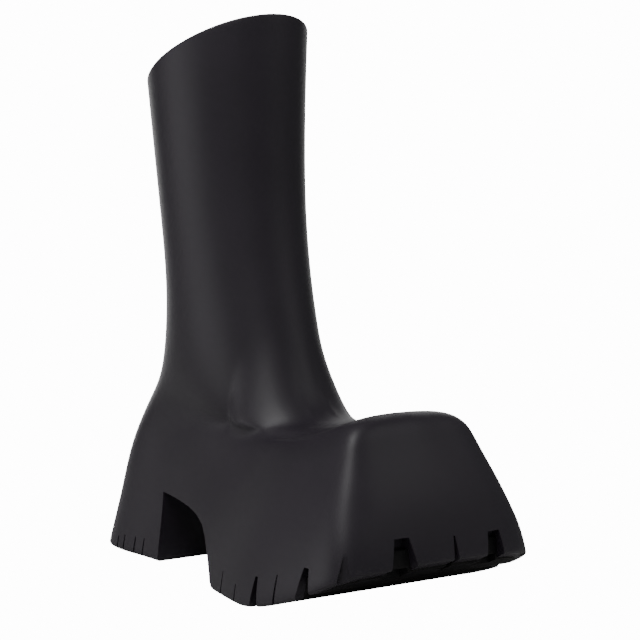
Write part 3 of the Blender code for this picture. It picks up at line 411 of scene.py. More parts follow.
def cavity_net():
    """Control rings of the hollow for the foot and leg, from the floor to the lining's top."""
    floor = foot_outline(0.0, 0.0, 0.0)
    base = floor_z(floor[:, 1])
    rings = [mirror_ring(floor, base), mirror_ring(floor, base + LOW_RING_LIFT)]
    rings.append(mirror_ring(foot_outline(*BULGE), base + BULGE_LIFT))
    shoulder = foot_outline(*SHOULDER)
    rings.append(mirror_ring(shoulder, two_heights(SHOULDER_HEEL_Z, SHOULDER_FORE_Z)))
    roof = shoulder * (1.0 - ROOF_SHARE) + oval(*ROOF_OVAL) * ROOF_SHARE
    rings.append(mirror_ring(roof, two_heights(ROOF_HEEL_Z, ROOF_FORE_Z)))
    front, rear, side = THROAT_WALL
    throat = oval(INSTEP_Y + front, ROOT_REAR_Y - rear, INSTEP_HALF - side)
    rings.append(mirror_ring(throat, two_heights(THROAT_HEEL_Z, THROAT_FORE_Z)))
    return np.array(rings + shaft_rings(SHAFT_WALL, LINING_DROP))


def spline_weights(t):
    """Uniform cubic B-spline weights."""
    return np.array([(1 - t) ** 3, 3 * t ** 3 - 6 * t ** 2 + 4,
                     -3 * t ** 3 + 3 * t ** 2 + 3 * t + 1, t ** 3]) / 6.0


def spline_grid(net, steps_around, steps_up):
    """Evaluate a net that closes on itself around and is open upward."""
    padded = np.concatenate([(2 * net[0] - net[1])[None], net, (2 * net[-1] - net[-2])[None]])
    rows = []
    for level in range(len(net) - 1):
        for step in range(steps_up):
            rows.append(np.tensordot(spline_weights(step / steps_up), padded[level:level + 4], 1))
    rows.append(net[-1])
    rows = np.array(rows)
    columns = []
    count = net.shape[1]
    for station in range(count):
        around = [rows[:, (station + k) % count] for k in (-1, 0, 1, 2)]
        for step in range(steps_around):
            columns.append(np.tensordot(spline_weights(step / steps_around), np.array(around), 1))
    return np.stack(columns, 1)


def grid_normals(grid):
    """Outward unit normals of a ring grid."""
    around = np.roll(grid, -1, 1) - np.roll(grid, 1, 1)
    upward = np.gradient(grid, axis=0)
    normals = np.cross(around, upward)
    normals /= np.linalg.norm(normals, axis=2, keepdims=True)
    outward = ((grid - grid.mean(axis=1, keepdims=True)) * normals).sum(2).mean()
    return normals if outward > 0 else -normals


def inward(grid, depth):
    """Grid moved in along its normals; depth is a number or one value per point."""
    depth = np.broadcast_to(depth, grid.shape[:2])[..., None]
    return grid - grid_normals(grid) * depth


def add_object(name, data):
    """New object in the scene for a mesh, light or camera."""
    obj = bpy.data.objects.new(name, data)
    bpy.context.scene.collection.objects.link(obj)
    return obj


def make_object(name, points, faces):
    """New mesh object with faces that all point outward."""
    mesh = bpy.data.meshes.new(name)
    mesh.from_pydata([tuple(map(float, p)) for p in points], [], faces)
    mesh.validate()
    work = bmesh.new()
    work.from_mesh(mesh)
    if work.calc_volume(signed=True) < 0.0:
        mesh.flip_normals()
    work.free()
    return add_object(name, mesh)


def ring_faces(rows, columns, first=0, flip=False):
    """Quads of a tube whose rows close on themselves."""
    faces = []
    for row in range(rows - 1):
        for column in range(columns):
            a = first + row * columns + column
            b = first + row * columns + (column + 1) % columns
            quad = (a, b, b + columns, a + columns)
            faces.append(quad[::-1] if flip else quad)
    return faces


def cap_faces(ring, first, flip=False):
    """Cap over a mirrored ring: strips that join each point to its partner across the foot."""
    count = len(ring)
    pointed = abs(ring[0, 0]) < 1e-9
    left, right = (1, count - 1) if pointed else (0, count - 1)
    faces = [(first, first + 1, first + count - 1)] if pointed else []
    while right - left > 2:
        faces.append((first + left, first + left + 1, first + right - 1, first + right))
        left, right = left + 1, right - 1
    if right - left == 2:
        faces.append((first + left, first + left + 1, first + right))
    return [face[::-1] for face in faces] if flip else faces


def block(name, grid):
    """Solid inside one ring grid, closed by caps at its two ends."""
    rows, columns = grid.shape[:2]
    faces = ring_faces(rows, columns) + cap_faces(grid[0], 0, flip=True)
    faces += cap_faces(grid[-1], (rows - 1) * columns)
    return make_object(name, grid.reshape(-1, 3), faces)


def cup(name, outside, inside):
    """Open-topped shell between two ring grids that share their layout."""
    rows, columns = outside.shape[:2]
    second = rows * columns
    faces = ring_faces(rows, columns) + ring_faces(rows, columns, second, flip=True)
    faces += cap_faces(outside[0], 0, flip=True) + cap_faces(inside[0], second)
    top = (rows - 1) * columns
    for column in range(columns):
        a, b = top + column, top + (column + 1) % columns
        faces.append((a, b, second + b, second + a))
    return make_object(name, np.vstack([outside.reshape(-1, 3), inside.reshape(-1, 3)]), faces)


def plate(name, half, low, high):
    """Plate with a mirrored outline; low and high give its lower and upper height along y."""
    return block(name, np.array([mirror_ring(half, law(half[:, 1])) for law in (low, high)]))


def prism(profile, start, end, axis):
    """Cutter: a profile swept along one axis ('X' or 'Y')."""
    points = []
    for reach in (start, end):
        for along, height in profile:
            points.append((reach, along, height) if axis == 'X' else (along, reach, height))
    count = len(profile)
    faces = [tuple(range(count))[::-1], tuple(range(count, 2 * count))]
    for k in range(count):
        after = (k + 1) % count
        faces.append((k, after, count + after, count + k))
    return make_object("prism", points, faces)


def cut(target, cutter):
    """Subtract the cutter from the target and discard the cutter."""
    modifier = target.modifiers.new("cut", 'BOOLEAN')
    modifier.operation = 'DIFFERENCE'
    modifier.solver = 'EXACT'
    modifier.object = cutter
    graph = bpy.context.evaluated_depsgraph_get()
    result = bpy.data.meshes.new_from_object(target.evaluated_get(graph))
    target.modifiers.clear()
    target.data = result
    result.name = target.name
    bpy.data.objects.remove(cutter, do_unlink=True)


def half_ring(grid_row):
    """Outer half of one evaluated ring as (half width, y), heel middle first."""
    half = grid_row[:len(grid_row) // 2 + 1]
    return np.column_stack([np.abs(half[:, 0]), half[:, 1]])


def plan_normals(ring):
    """Unit normals in plan that point into a closed outline."""
    along = np.roll(ring, -1, 0) - np.roll(ring, 1, 0)
    inside = np.column_stack([-along[:, 1], along[:, 0]])
    inside /= np.linalg.norm(inside, axis=1, keepdims=True)
    towards = (ring.mean(axis=0) - ring)[:, :2]
    return inside if (towards * inside).sum() > 0.0 else -inside


def shrink(half, depth):
    """Half outline moved inward by depth along its normals in plan."""
    full = np.vstack([half, (half * (-1.0, 1.0))[1:-1][::-1]])
    moved = (full + plan_normals(full) * depth)[:len(half)]
    moved[0, 0] = 0.0
    moved[-1, 0] = 0.0
    return moved


def trim(half, limit, ahead):
    """Keep the part of a half outline ahead of the limit or behind it, with a straight edge."""
    side = -1.0 if ahead else 1.0
    kept = half[side * (half[:, 1] - limit) > TRIM_MARGIN]
    corner = (np.interp(limit, half[::-1, 1], half[::-1, 0]), limit)
    return np.vstack([corner, kept] if ahead else [kept, corner])


def notch_profile(centre, edge_width, top_width, height, law, drop=NOTCH_DROP):
    """Wedge that starts below the sole's edge and narrows upward."""
    base = float(law(centre))
    steep = 0.5 * (edge_width - top_width) / height
    low = 0.5 * edge_width + steep * drop
    return [(centre - low, base - drop), (centre + low, base - drop),
            (centre + 0.5 * top_width, base + height), (centre - 0.5 * top_width, base + height)]


def side_notches(rows, half):
    """Wedges through both side walls at the listed positions along the foot."""
    wedges = []
    for centre, *size in rows:
        profile = notch_profile(centre, *size, spring_z)
        wide = np.interp(centre, half[::-1, 1], half[::-1, 0])
        for side in (-1.0, 1.0):
            start, end = side * (wide - NOTCH_REACH), side * (wide + WALL_CLEAR)
            wedges.append(prism(profile, start, end, 'X'))
    return wedges


def front_notches():
    """Wedges through the front wall at the listed positions across the foot."""
    start, end = TOE_FRONT_Y + NOTCH_REACH + FRONT_EXTRA_REACH, TOE_FRONT_Y - WALL_CLEAR
    return [prism(notch_profile(*row, lambda x: spring_z(TOE_FRONT_Y)), start, end, 'Y')
            for row in FRONT_NOTCHES]


def corner_notches():
    """Wedges through the two front corners of the wall, square to the corner."""
    x, y = CORNER_SPOT
    profile = notch_profile(0.0, *CORNER_NOTCH, lambda along: spring_z(y))
    wedges = []
    for side, angle in ((1.0, -CORNER_TURN), (-1.0, math.pi + CORNER_TURN)):
        wedge = prism(profile, CORNER_NOTCH_START, CORNER_NOTCH_END, 'X')
        turn = Matrix.Rotation(angle, 4, 'Z')
        wedge.data.transform(Matrix.Translation((side * x, y, 0.0)) @ turn)
        wedges.append(wedge)
    return wedges


def cross_grooves(rows):
    """Grooves right across a tread unit, in line with the side notches."""
    grooves = []
    for centre, edge_width, top_width, height in rows:
        taper = (edge_width - top_width) * GROOVE_DEPTH / height
        profile = notch_profile(centre, edge_width, edge_width - taper, GROOVE_DEPTH, spring_z)
        grooves.append(prism(profile, -SWEEP_HALF, SWEEP_HALF, 'X'))
    return grooves


def front_grooves():
    """Short grooves at the toe of the tread unit, in line with the front notches."""
    start, end = TOE_FRONT_Y + FRONT_GROOVE_START, TOE_FRONT_Y - WALL_CLEAR
    grooves = []
    for centre, edge_width, _, _ in FRONT_NOTCHES:
        profile = notch_profile(centre, edge_width, FRONT_GROOVE_TAPER * edge_width, GROOVE_DEPTH,
                                lambda x: spring_z(TOE_FRONT_Y + FRONT_GROOVE_LEVEL),
                                FRONT_GROOVE_DROP)
        grooves.append(prism(profile, start, end, 'Y'))
    return grooves


def soft_box(front_y, rear_y, half_width, steps=6):
    """Half outline of a rounded block."""
    angles = np.linspace(0.0, math.pi, 2 * steps + 1)
    middle, reach = 0.5 * (front_y + rear_y), 0.5 * (rear_y - front_y)
    width = half_width * np.abs(np.sin(angles)) ** SOFT_POWER
    width[0] = width[-1] = 0.0
    along = middle + reach * np.sign(np.cos(angles)) * np.abs(np.cos(angles)) ** SOFT_POWER
    return np.column_stack([width, along])


def round_hole(spot, levels):
    """Round cutter on a vertical axis; levels are (z, radius) pairs from the bottom up."""
    points = []
    for z, radius in levels:
        for k in range(PIN_SIDES):
            angle = 2.0 * math.pi * (k + 0.5) / PIN_SIDES
            points.append((spot[0] + radius * math.cos(angle),
                           spot[1] + radius * math.sin(angle), z))
    faces = ring_faces(len(levels), PIN_SIDES)
    faces.append(tuple(range(PIN_SIDES))[::-1])
    faces.append(tuple(range(len(points) - PIN_SIDES, len(points))))
    return make_object("hole", points, faces)


def pin_hole(spot, radius, head_radius, head, length):
    """Clearance round a screw or nail, open at its top."""
    top = floor_z(spot[1]) + BOARD_THICK
    stem, wide = radius + GAP, head_radius + GAP
    return round_hole(spot, ((top - length - 2 * GAP, stem), (top - head - HEAD_STEP - GAP, stem),
                             (top - head - GAP, wide), (top + OVERCUT, wide)))


def rivet_hole(spot):
    """Clearance round a rivet through shank and board, open at its top."""
    top = floor_z(spot[1]) + BOARD_THICK
    under, low = top - RIVET_HEAD - GAP, shank_low(spot[1])
    stem, wide = RIVET_RADIUS + GAP, RIVET_HEAD_RADIUS + GAP
    return round_hole(spot, ((low - 2 * GAP - RIVET_HEAD, wide), (low, wide),
                             (low + HEAD_STEP, stem), (under - HEAD_STEP, stem), (under, wide),
                             (top + OVERCUT, wide)))


def shank_half():
    """Half outline of the steel shank with rounded ends."""
    return soft_box(SHANK_FRONT_Y, SHANK_REAR_Y, SHANK_HALF, steps=9)


def shank_low(y):
    """Height of the shank's underside at y."""
    return floor_z(y) - SHANK_DROP - SHANK_THICK


def tread_plan(sole_half, gap):
    """Recesses for the two treads; gap shrinks them into the treads that fill them."""
    outline = shrink(sole_half, SKIRT_WALL + gap)
    fore = trim(outline, FORE_TREAD_REAR_Y - gap, ahead=True)
    heel = trim(outline, HEEL_TREAD_FRONT_Y + gap, ahead=False)
    below = -RECESS_OVERCUT if gap == 0.0 else 0.0
    return (
        (fore, lambda y: spring_z(y) + below, lambda y: spring_z(y) + TREAD_THICK - gap),
        (heel, lambda y: 0.0 * y + below, lambda y: 0.0 * y + HEEL_TREAD_THICK - gap),
    )


def block_pockets():
    """Pockets for the forefoot filler and the heel core, above the treads' recesses."""
    filler = soft_box(FILLER_FRONT_Y, FILLER_REAR_Y, FILLER_HALF)
    core = soft_box(CORE_FRONT_Y, CORE_REAR_Y, CORE_HALF)
    return (
        (filler, lambda y: spring_z(y) + TREAD_THICK - POCKET_OVERLAP,
         lambda y: floor_z(y) - FILLER_COVER),
        (core, lambda y: 0.0 * y + HEEL_TREAD_THICK - POCKET_OVERLAP,
         lambda y: floor_z(y) - CORE_COVER),
    )


# ---------------------------------------------------------------- surface detail of the upper
def smooth(value, start, end):
    """Smooth rise from 0 at start to 1 at end."""
    t = np.clip((value - start) / (end - start), 0.0, 1.0)
    return t * t * (3.0 - 2.0 * t)


def bump(value, start, peak, end):
    """Smooth hump that is 0 at start and end and 1 at the peak."""
    return smooth(value, start, peak) * (1.0 - smooth(value, peak, end))


def near_line(points, path, width):
    """One on a polyline, falling away smoothly over the width to each side."""
    best = np.full(points.shape[:-1], np.inf)
    for a, b in zip(path[:-1], path[1:]):
        a, b = np.array(a), np.array(b)
        along = np.clip(((points - a) @ (b - a)) / ((b - a) @ (b - a)), 0.0, 1.0)
        near = a + along[..., None] * (b - a)
        best = np.minimum(best, np.linalg.norm(points - near, axis=-1))
    return np.exp(-(best / width) ** 2)


def fold(grid):
    """Grid with one side of the foot folded onto the other, so that widths are positive."""
    return np.abs(grid * (1.0, 0.0, 0.0)) + grid * (0.0, 1.0, 1.0)


def levels_of(grid):
    """Ring number of each row of the fine grid, as a column."""
    return np.arange(grid.shape[0])[:, None] / UP_STEPS


def pad_heights(folded, level):
    """Height of the instep pad less the depth of the furrow along its crease."""
    ahead = np.interp(folded[..., 2], CREASE_HEIGHTS, CREASE_Y) - folded[..., 1]
    pad = PAD_RISE * np.sin(0.5 * math.pi * np.clip(ahead / PAD_EDGE, 0.0, 1.0))
    pad *= 1.0 - smooth(ahead, PAD_HOLD, PAD_REACH)
    furrow = FURROW * np.exp(-np.abs(ahead) / FURROW_WIDTH)
    return (pad - furrow) * bump(level, *PAD_LEVELS) * smooth(folded[..., 0], *PAD_MIDDLE)


def pad_shift(grid):
    """Sideways move that raises the pad: each station moves level, square to its own wall."""
    away = grid_normals(grid)[int(PAD_LEVELS[1] * UP_STEPS)] * (1.0, 1.0, 0.0)
    away /= np.linalg.norm(away, axis=-1, keepdims=True)
    return away * pad_heights(fold(grid), levels_of(grid))[..., None]


def detail_heights(grid):
    """Height of the moulded detail above the plain surface, one value per grid point."""
    folded, level = fold(grid), levels_of(grid)
    corner = near_line(folded, CORNER_LINE, CORNER_WIDTH)
    height = -CORNER_EASE * corner * smooth(folded[..., 2], *CORNER_LEVELS)
    forward = smooth(-folded[..., 1], -VALLEY_Y[0], -VALLEY_Y[1])
    height -= VALLEY_DEPTH * bump(level, *VALLEY_LEVELS) * forward
    return height + INSTEP_RIDGE_RISE * near_line(folded, INSTEP_RIDGE, INSTEP_RIDGE_WIDTH)


def fillet(radius, points):
    """Points of a quarter round: distances from the edge across the wall and along it."""
    angles = np.linspace(0.0, math.pi / 2, points)
    return [(radius * (1.0 - math.cos(angle)), radius * (1.0 - math.sin(angle)))
            for angle in angles]


def rounded_skirt(grid):
    """Replace the bottom of the wall by a fillet that turns under."""
    ring = grid[0]
    low = ring[:, 2]
    clear = (grid[:, :, 2] - low).min(axis=1) > SKIRT_CLEARANCE * EDGE_ROUND
    first = 1 + int(np.argmax(clear))
    share = EDGE_ROUND / (grid[first][:, 2] - low)
    start = ring + (grid[first] - ring) * share[:, None]
    inside = plan_normals(ring)
    rows = []
    for across, along in fillet(EDGE_ROUND, FILLET_POINTS)[:0:-1]:
        row = start.copy()
        row[:, :2] += inside * across
        row[:, 2] = low + along
        rows.append(row)
    return np.concatenate([np.array(rows), start[None], grid[first:]])


def coarse_ring():
    """Sole outline at the CAD model's own resolution, for the recesses and treads."""
    return spline_grid(outer_net(), CAD_OUTSIDE_STEPS, CAD_OUTSIDE_STEPS)[0]


def outer_surface():
    """Fine grids of the boot's outside: the plain one, and the one with detail and a fillet."""
    plain = spline_grid(outer_net(), AROUND_STEPS, UP_STEPS)
    plain[0, :, 2] = spring_z(plain[0, :, 1])
    shaped = plain + grid_normals(plain) * detail_heights(plain)[..., None] + pad_shift(plain)
    shaped[0] = plain[0]
    return plain, rounded_skirt(shaped)


# ---------------------------------------------------------------- pieces
def smooth_mesh(obj, sharp_degrees=38.0):
    """Shade smooth, with edges sharper than the limit kept crisp."""
    obj.data.shade_smooth()
    obj.data.set_sharp_from_angle(angle=math.radians(sharp_degrees))


def set_values(obj, name, values):
    """Store one number per vertex for the materials to read."""
    layer = obj.data.attributes.new(name, 'FLOAT', 'POINT')
    layer.data.foreach_set("value", np.asarray(values, np.float32))


def coordinates(obj):
    """Vertex positions as an array."""
    flat = np.zeros(len(obj.data.vertices) * 3)
    obj.data.vertices.foreach_get("co", flat)
    return flat.reshape(-1, 3)


def rounded_rim(grid):
    """Add a fillet along the outer edge of the rim."""
    ring = grid[-1]
    rising = ring - grid[-3]
    rising /= np.linalg.norm(rising, axis=1, keepdims=True)
    inside = -grid_normals(grid)[-1]
    rows = [ring - rising * along + inside * across
            for across, along in fillet(RIM_ROUND, FILLET_POINTS)]
    return np.concatenate([grid[:-1], np.array(rows)])


def hollow_surface(cavity):
    """Cutter for the foot hollow, flared where it meets the rim's inner edge."""
    ring = cavity[-1]
    outward = grid_normals(cavity)[-1] * (1.0, 1.0, 0.0)
    rows = [ring + outward * across + (0.0, 0.0, LINING_DROP - along)
            for across, along in fillet(RIM_ROUND, INNER_POINTS)]
    rows.append(rows[-1] + (0.0, 0.0, HOLLOW_OVERRUN))
    return np.concatenate([cavity, np.array(rows)])


def join(objects):
    """Merge mesh objects into the first one."""
    work = bmesh.new()
    for obj in objects:
        work.from_mesh(obj.data)
    work.to_mesh(objects[0].data)
    work.free()
    for obj in objects[1:]:
        bpy.data.objects.remove(obj, do_unlink=True)
    return objects[0]


def build_upper(outer, cavity, sole_half):
    """The moulded upper with its hollows, recesses, arch gap and notches."""
    shell = block("boot_upper", rounded_rim(outer))
    cut(shell, block("foot_hollow", hollow_surface(cavity)))
    cut(shell, prism(ARCH_PROFILE, -SWEEP_HALF, SWEEP_HALF, 'X'))
    for plan in (tread_plan(sole_half, 0.0), block_pockets()):
        cut(shell, join([plate("pocket", *row) for row in plan]))
    cut(shell, join(side_notches(SIDE_NOTCHES, sole_half) + front_notches() + corner_notches()
                    + side_notches(HEEL_SLITS, sole_half)))
    recess = plate("shank_recess", shrink(shank_half(), -GAP), lambda y: shank_low(y) - GAP,
                   lambda y: floor_z(y) + OVERCUT)
    holes = [pin_hole(SCREW_SPOT, SCREW_RADIUS, SCREW_HEAD_RADIUS, SCREW_HEAD, SCREW_LENGTH)]
    for spot in NAIL_SPOTS:
        holes.append(pin_hole(spot, NAIL_RADIUS, NAIL_HEAD_RADIUS, NAIL_HEAD, NAIL_LENGTH))
    cut(shell, join([recess] + holes))
    cut(shell, join([rivet_hole(spot) for spot in RIVET_SPOTS]))
    smooth_mesh(shell)
    points = coordinates(shell)
    above = points[:, 2] - spring_z(points[:, 1])
    set_values(shell, "scuff", 1.0 - smooth(above, 0.0, SCUFF_HEIGHT))
    return shell


def build_treads(sole_half):
    """Forefoot and heel tread units with their grooves."""
    fore, heel = tread_plan(sole_half, GAP)
    front = plate("forefoot_tread", *fore)
    cut(front, join(cross_grooves(SIDE_NOTCHES)))
    cut(front, join(front_grooves()))
    rear = plate("heel_tread", *heel)
    cut(rear, join(cross_grooves(HEEL_SLITS)))
    for obj in (front, rear):
        smooth_mesh(obj, 30.0)
    return front, rear


def stiffened_zone(columns, centre, spread, steps):
    """One for columns near the centre column, falling smoothly to zero."""
    index = np.arange(columns)
    away = np.abs((index - centre + columns // 2) % columns - columns // 2) * CAD_STEPS / steps
    return np.clip((spread + STIFFENER_EASE - away) / STIFFENER_EASE, 0.0, 1.0)


def lining_depth(shape, steps):
    """Depth of the lining behind the hollow's wall, deeper where a stiffener sits."""
    rows, columns = shape
    depth = np.full(shape, GAP)
    extra = STIFFENER_THICK + GAP
    toe, heel = (columns // 2, TOE_SPREAD, TOE_TOP_ROW), (0, HEEL_SPREAD, HEEL_TOP_ROW)
    for centre, spread, top in (toe, heel):
        zone = stiffened_zone(columns, centre, spread, steps)
        row = np.arange(rows) * CAD_STEPS / steps
        fade = np.clip((top + STIFFENER_EASE - row) / STIFFENER_EASE, 0.0, 1.0)
        depth += extra * np.outer(fade, zone)
    return depth


def build_lining():
    """Knitted sock lining with a folded hem along its top edge."""
    cavity = spline_grid(cavity_net(), LINING_STEPS, LINING_STEPS)
    wall = cavity[LINING_STEPS // 2:].copy()
    outside = inward(wall, lining_depth(wall.shape[:2], LINING_STEPS))
    outside[0, :, 2] = floor_z(outside[0, :, 1]) + GAP + BOARD_THICK + LAYER_GAP
    rows = len(outside)
    from_top = (rows - 1 - np.arange(rows))[:, None] / (rows - 1)
    hem = 1.0 - smooth(from_top, *HEM_SHARE)
    inside = inward(outside, SOCK_THICK + HEM_THICKER * hem)
    inside[0, :, 2] = outside[0, :, 2] + SOCK_THICK
    inside[-1, :, 2] = outside[-1, :, 2] - HEM_SLOPE
    lining = cup("boot_lining", outside, inside)
    smooth_mesh(lining, 50.0)
    columns = wall.shape[1]
    around = np.tile(np.arange(columns) / columns, (rows, 1))
    step = np.linalg.norm(np.diff(outside, axis=0), axis=2).mean(axis=1)
    height = np.tile(np.concatenate([[0.0], np.cumsum(step)])[:, None], (1, columns))
    set_values(lining, "wale", np.tile(around.ravel(), 2))
    set_values(lining, "course", np.tile(height.ravel(), 2))
    return lining


def footbed_layer(name, half, low, high):
    """Layer of the footbed between two heights above the hollow's floor, edge turned up."""
    across = np.linspace(-1.0, 1.0, BED_POINTS)
    rise = BED_CUP * np.abs(across) ** CUP_POWER
    ease = np.sign(across) * np.abs(across) ** SPACING_POWER
    grids = []
    for lift in (low, high):
        rows = [np.column_stack([ease * width, np.full(BED_POINTS, y), floor_z(y) + lift + rise])
                for width, y in half[half[:, 0] > BED_END_HALF]]
        grids.append(np.stack(rows))
    return sheet_solid(name, *grids)


def sheet_solid(name, low_grid, high_grid):
    """Closed solid between two open grids that share their layout."""
    rows, columns = low_grid.shape[:2]
    second = rows * columns
    faces = []
    for row in range(rows - 1):
        for column in range(columns - 1):
            a = row * columns + column
            faces.append((a, a + 1, a + columns + 1, a + columns))
            b = second + a
            faces.append((b, b + columns, b + columns + 1, b + 1))
    border = list(range(columns - 1))
    border += [r * columns + columns - 1 for r in range(rows - 1)]
    border += [(rows - 1) * columns + c for c in range(columns - 1, 0, -1)]
    border += [r * columns for r in range(rows - 1, 0, -1)]
    for a, b in zip(border, border[1:] + border[:1]):
        faces.append((b, a, second + a, second + b))
    points = np.vstack([low_grid.reshape(-1, 3), high_grid.reshape(-1, 3)])
    return make_object(name, points, faces)


def build_footbed(floor_half):
    """Foam footbed and the cloth on it."""
    bed = shrink(floor_half, FOOTBED_INSET)
    foam_low = GAP + BOARD_THICK + SOCK_THICK + 2 * LAYER_GAP
    foam_high = foam_low + FOAM_THICK
    cover_low = foam_high + GAP
    foam = footbed_layer("footbed_base", bed, foam_low, foam_high)
    cover = footbed_layer("footbed_top", bed, cover_low, cover_low + COVER_THICK)
    for obj in (foam, cover):
        smooth_mesh(obj, 50.0)
    return foam, cover


# ---------------------------------------------------------------- materials
class Nodes:
    """Small helper that adds and links shader nodes."""

    def __init__(self, name):
        self.material = bpy.data.materials.new(name)
        self.material.use_nodes = True
        self.tree = self.material.node_tree
        self.shader = self.tree.nodes["Principled BSDF"]
        self.output = self.tree.nodes["Material Output"]
        self.place = self.add("ShaderNodeTexCoord").outputs["Object"]

    def add(self, kind, **values):
        """New node; each value sets a property of the node or an input of that name."""
        node = self.tree.nodes.new(kind)
        for key, value in values.items():
            if hasattr(node, key):
                setattr(node, key, value)
            else:
                node.inputs[key.replace("_", " ")].default_value = value
        return node

    def link(self, source, target):
        """Join an output to an input."""
        self.tree.links.new(source, target)

    def noise(self, scale, detail=4.0, roughness=0.5, place=None, distortion=0.0):
        """Fractal noise, from 0 to 1."""
        node = self.add("ShaderNodeTexNoise", Scale=scale, Detail=detail, Roughness=roughness,
                        Distortion=distortion)
        self.link(place or self.place, node.inputs["Vector"])
        return node.outputs["Fac"]

    def cells(self, scale):
        """Distance to the nearest of many scattered cell centres."""
        node = self.add("ShaderNodeTexVoronoi", Scale=scale)
        self.link(self.place, node.inputs["Vector"])
        return node.outputs["Distance"]

    def stretch(self, scale):
        """Position scaled by a different factor along each axis."""
        node = self.add("ShaderNodeMapping")
        node.inputs["Scale"].default_value = scale
        self.link(self.place, node.inputs["Vector"])
        return node.outputs["Vector"]

    def ramp(self, value, stops):
        """Colour ramp; stops are (position, colour) pairs."""
        node = self.add("ShaderNodeValToRGB")
        elements = node.color_ramp.elements
        for element, (position, colour) in zip(elements, (stops[0], stops[-1])):
            element.position = position
            element.color = (*colour, 1.0)
        for position, colour in stops[1:-1]:
            elements.new(position).color = (*colour, 1.0)
        self.link(value, node.inputs["Fac"])
        return node.outputs["Color"]

    def span(self, value, low, high, start=0.0, end=1.0):
        """Map the range from start to end onto the range from low to high."""
        node = self.add("ShaderNodeMapRange")
        for key, number in (("From Min", start), ("From Max", end), ("To Min", low), ("To Max", high)):
            node.inputs[key].default_value = number
        self.link(value, node.inputs["Value"])
        return node.outputs["Result"]

    def math(self, operation, first, second=None):
        """Math node on sockets or plain numbers."""
        node = self.add("ShaderNodeMath", operation=operation)
        for socket, value in zip(node.inputs, (first, second)):
            if value is None:
                continue
            if isinstance(value, (int, float)):
                socket.default_value = value
            else:
                self.link(value, socket)
        return node.outputs["Value"]

    def wave(self, value, pitch):
        """Sine wave of a value that repeats with the pitch."""
        return self.math('SINE', self.math('MULTIPLY', value, 2.0 * math.pi / pitch))

    def mix(self, factor, first, second):
        """Mix two colours, each a socket or a plain colour."""
        node = self.add("ShaderNodeMix", data_type='RGBA')
        self.link(factor, node.inputs["Factor"])
        for key, value in (("A", first), ("B", second)):
            socket = [s for s in node.inputs if s.name == key and s.type == 'RGBA'][0]
            if isinstance(value, tuple):
                socket.default_value = (*value, 1.0)
            else:
                self.link(value, socket)
        return [s for s in node.outputs if s.type == 'RGBA'][0]

    def attribute(self, name):
        """Number stored on the mesh for each vertex."""
        node = self.add("ShaderNodeAttribute")
        node.attribute_name = name
        return node.outputs["Fac"]

    def bumps(self, layers):
        """Chain of bump nodes; layers are (height, strength, distance)."""
        last = None
        for height, strength, distance in layers:
            node = self.add("ShaderNodeBump")
            node.inputs["Strength"].default_value = strength
            node.inputs["Distance"].default_value = distance
            self.link(height, node.inputs["Height"])
            if last is not None:
                self.link(last, node.inputs["Normal"])
            last = node.outputs["Normal"]
        self.link(last, self.shader.inputs["Normal"])

    def colour(self, source):
        """Base colour from a socket."""
        self.link(source, self.shader.inputs["Base Color"])

    def roughness(self, source):
        """Roughness from a socket."""
        self.link(source, self.shader.inputs["Roughness"])

    def fix(self, **values):
        """Set constants directly on the shader's inputs."""
        for key, value in values.items():
            self.shader.inputs[key.replace("_", " ")].default_value = value

    def finish(self, pattern, stops, rough, layers, **values):
        """Colour ramp on a pattern, roughness range, bump layers and constants."""
        self.colour(self.ramp(pattern, stops))
        self.roughness(self.span(*rough))
        self.bumps(layers)
        self.fix(**values)
        return self.material


def moulded_rubber():
    """Satin black moulded rubber: fine mould grain, handling haze, scuffs along the skirt."""
    m = Nodes("moulded_rubber")
    haze = m.noise(9.0, 3.0)
    tone = m.ramp(haze, ((0.35, (0.0162, 0.0126, 0.0190)), (0.68, (0.0216, 0.0170, 0.0250))))
    scuff = m.attribute("scuff")
    dust = m.noise(420.0, 5.0, 0.65)
    worn = m.math('MULTIPLY', scuff, m.span(dust, 0.0, 1.0, 0.52, 0.70))
    m.colour(m.mix(m.math('MULTIPLY', worn, 0.5), tone, (0.045, 0.043, 0.045)))
    grain = m.noise(1500.0, 2.0)
    rough = m.math('ADD', m.span(haze, 0.44, 0.52), m.span(grain, -0.02, 0.02))
    m.roughness(m.math('ADD', rough, m.math('MULTIPLY', worn, 0.18)))
    m.bumps(((m.noise(38.0, 2.0), 0.10, 0.0010), (grain, 0.16, 0.00010),
             (m.cells(900.0), 0.05, 0.00008)))
    m.fix(Specular_IOR_Level=0.45)
    return m.material


def tread_rubber():
    """Darker, rougher rubber of the tread, dusty where it meets the floor."""
    m = Nodes("tread_rubber")
    grain = m.noise(900.0, 4.0, 0.6)
    stops = ((0.35, (0.004, 0.004, 0.0045)), (0.75, (0.013, 0.012, 0.012)))
    return m.finish(m.noise(60.0, 4.0), stops, (grain, 0.55, 0.80),
                    ((grain, 0.20, 0.0001), (m.cells(260.0), 0.08, 0.0001)),
                    Specular_IOR_Level=0.2)


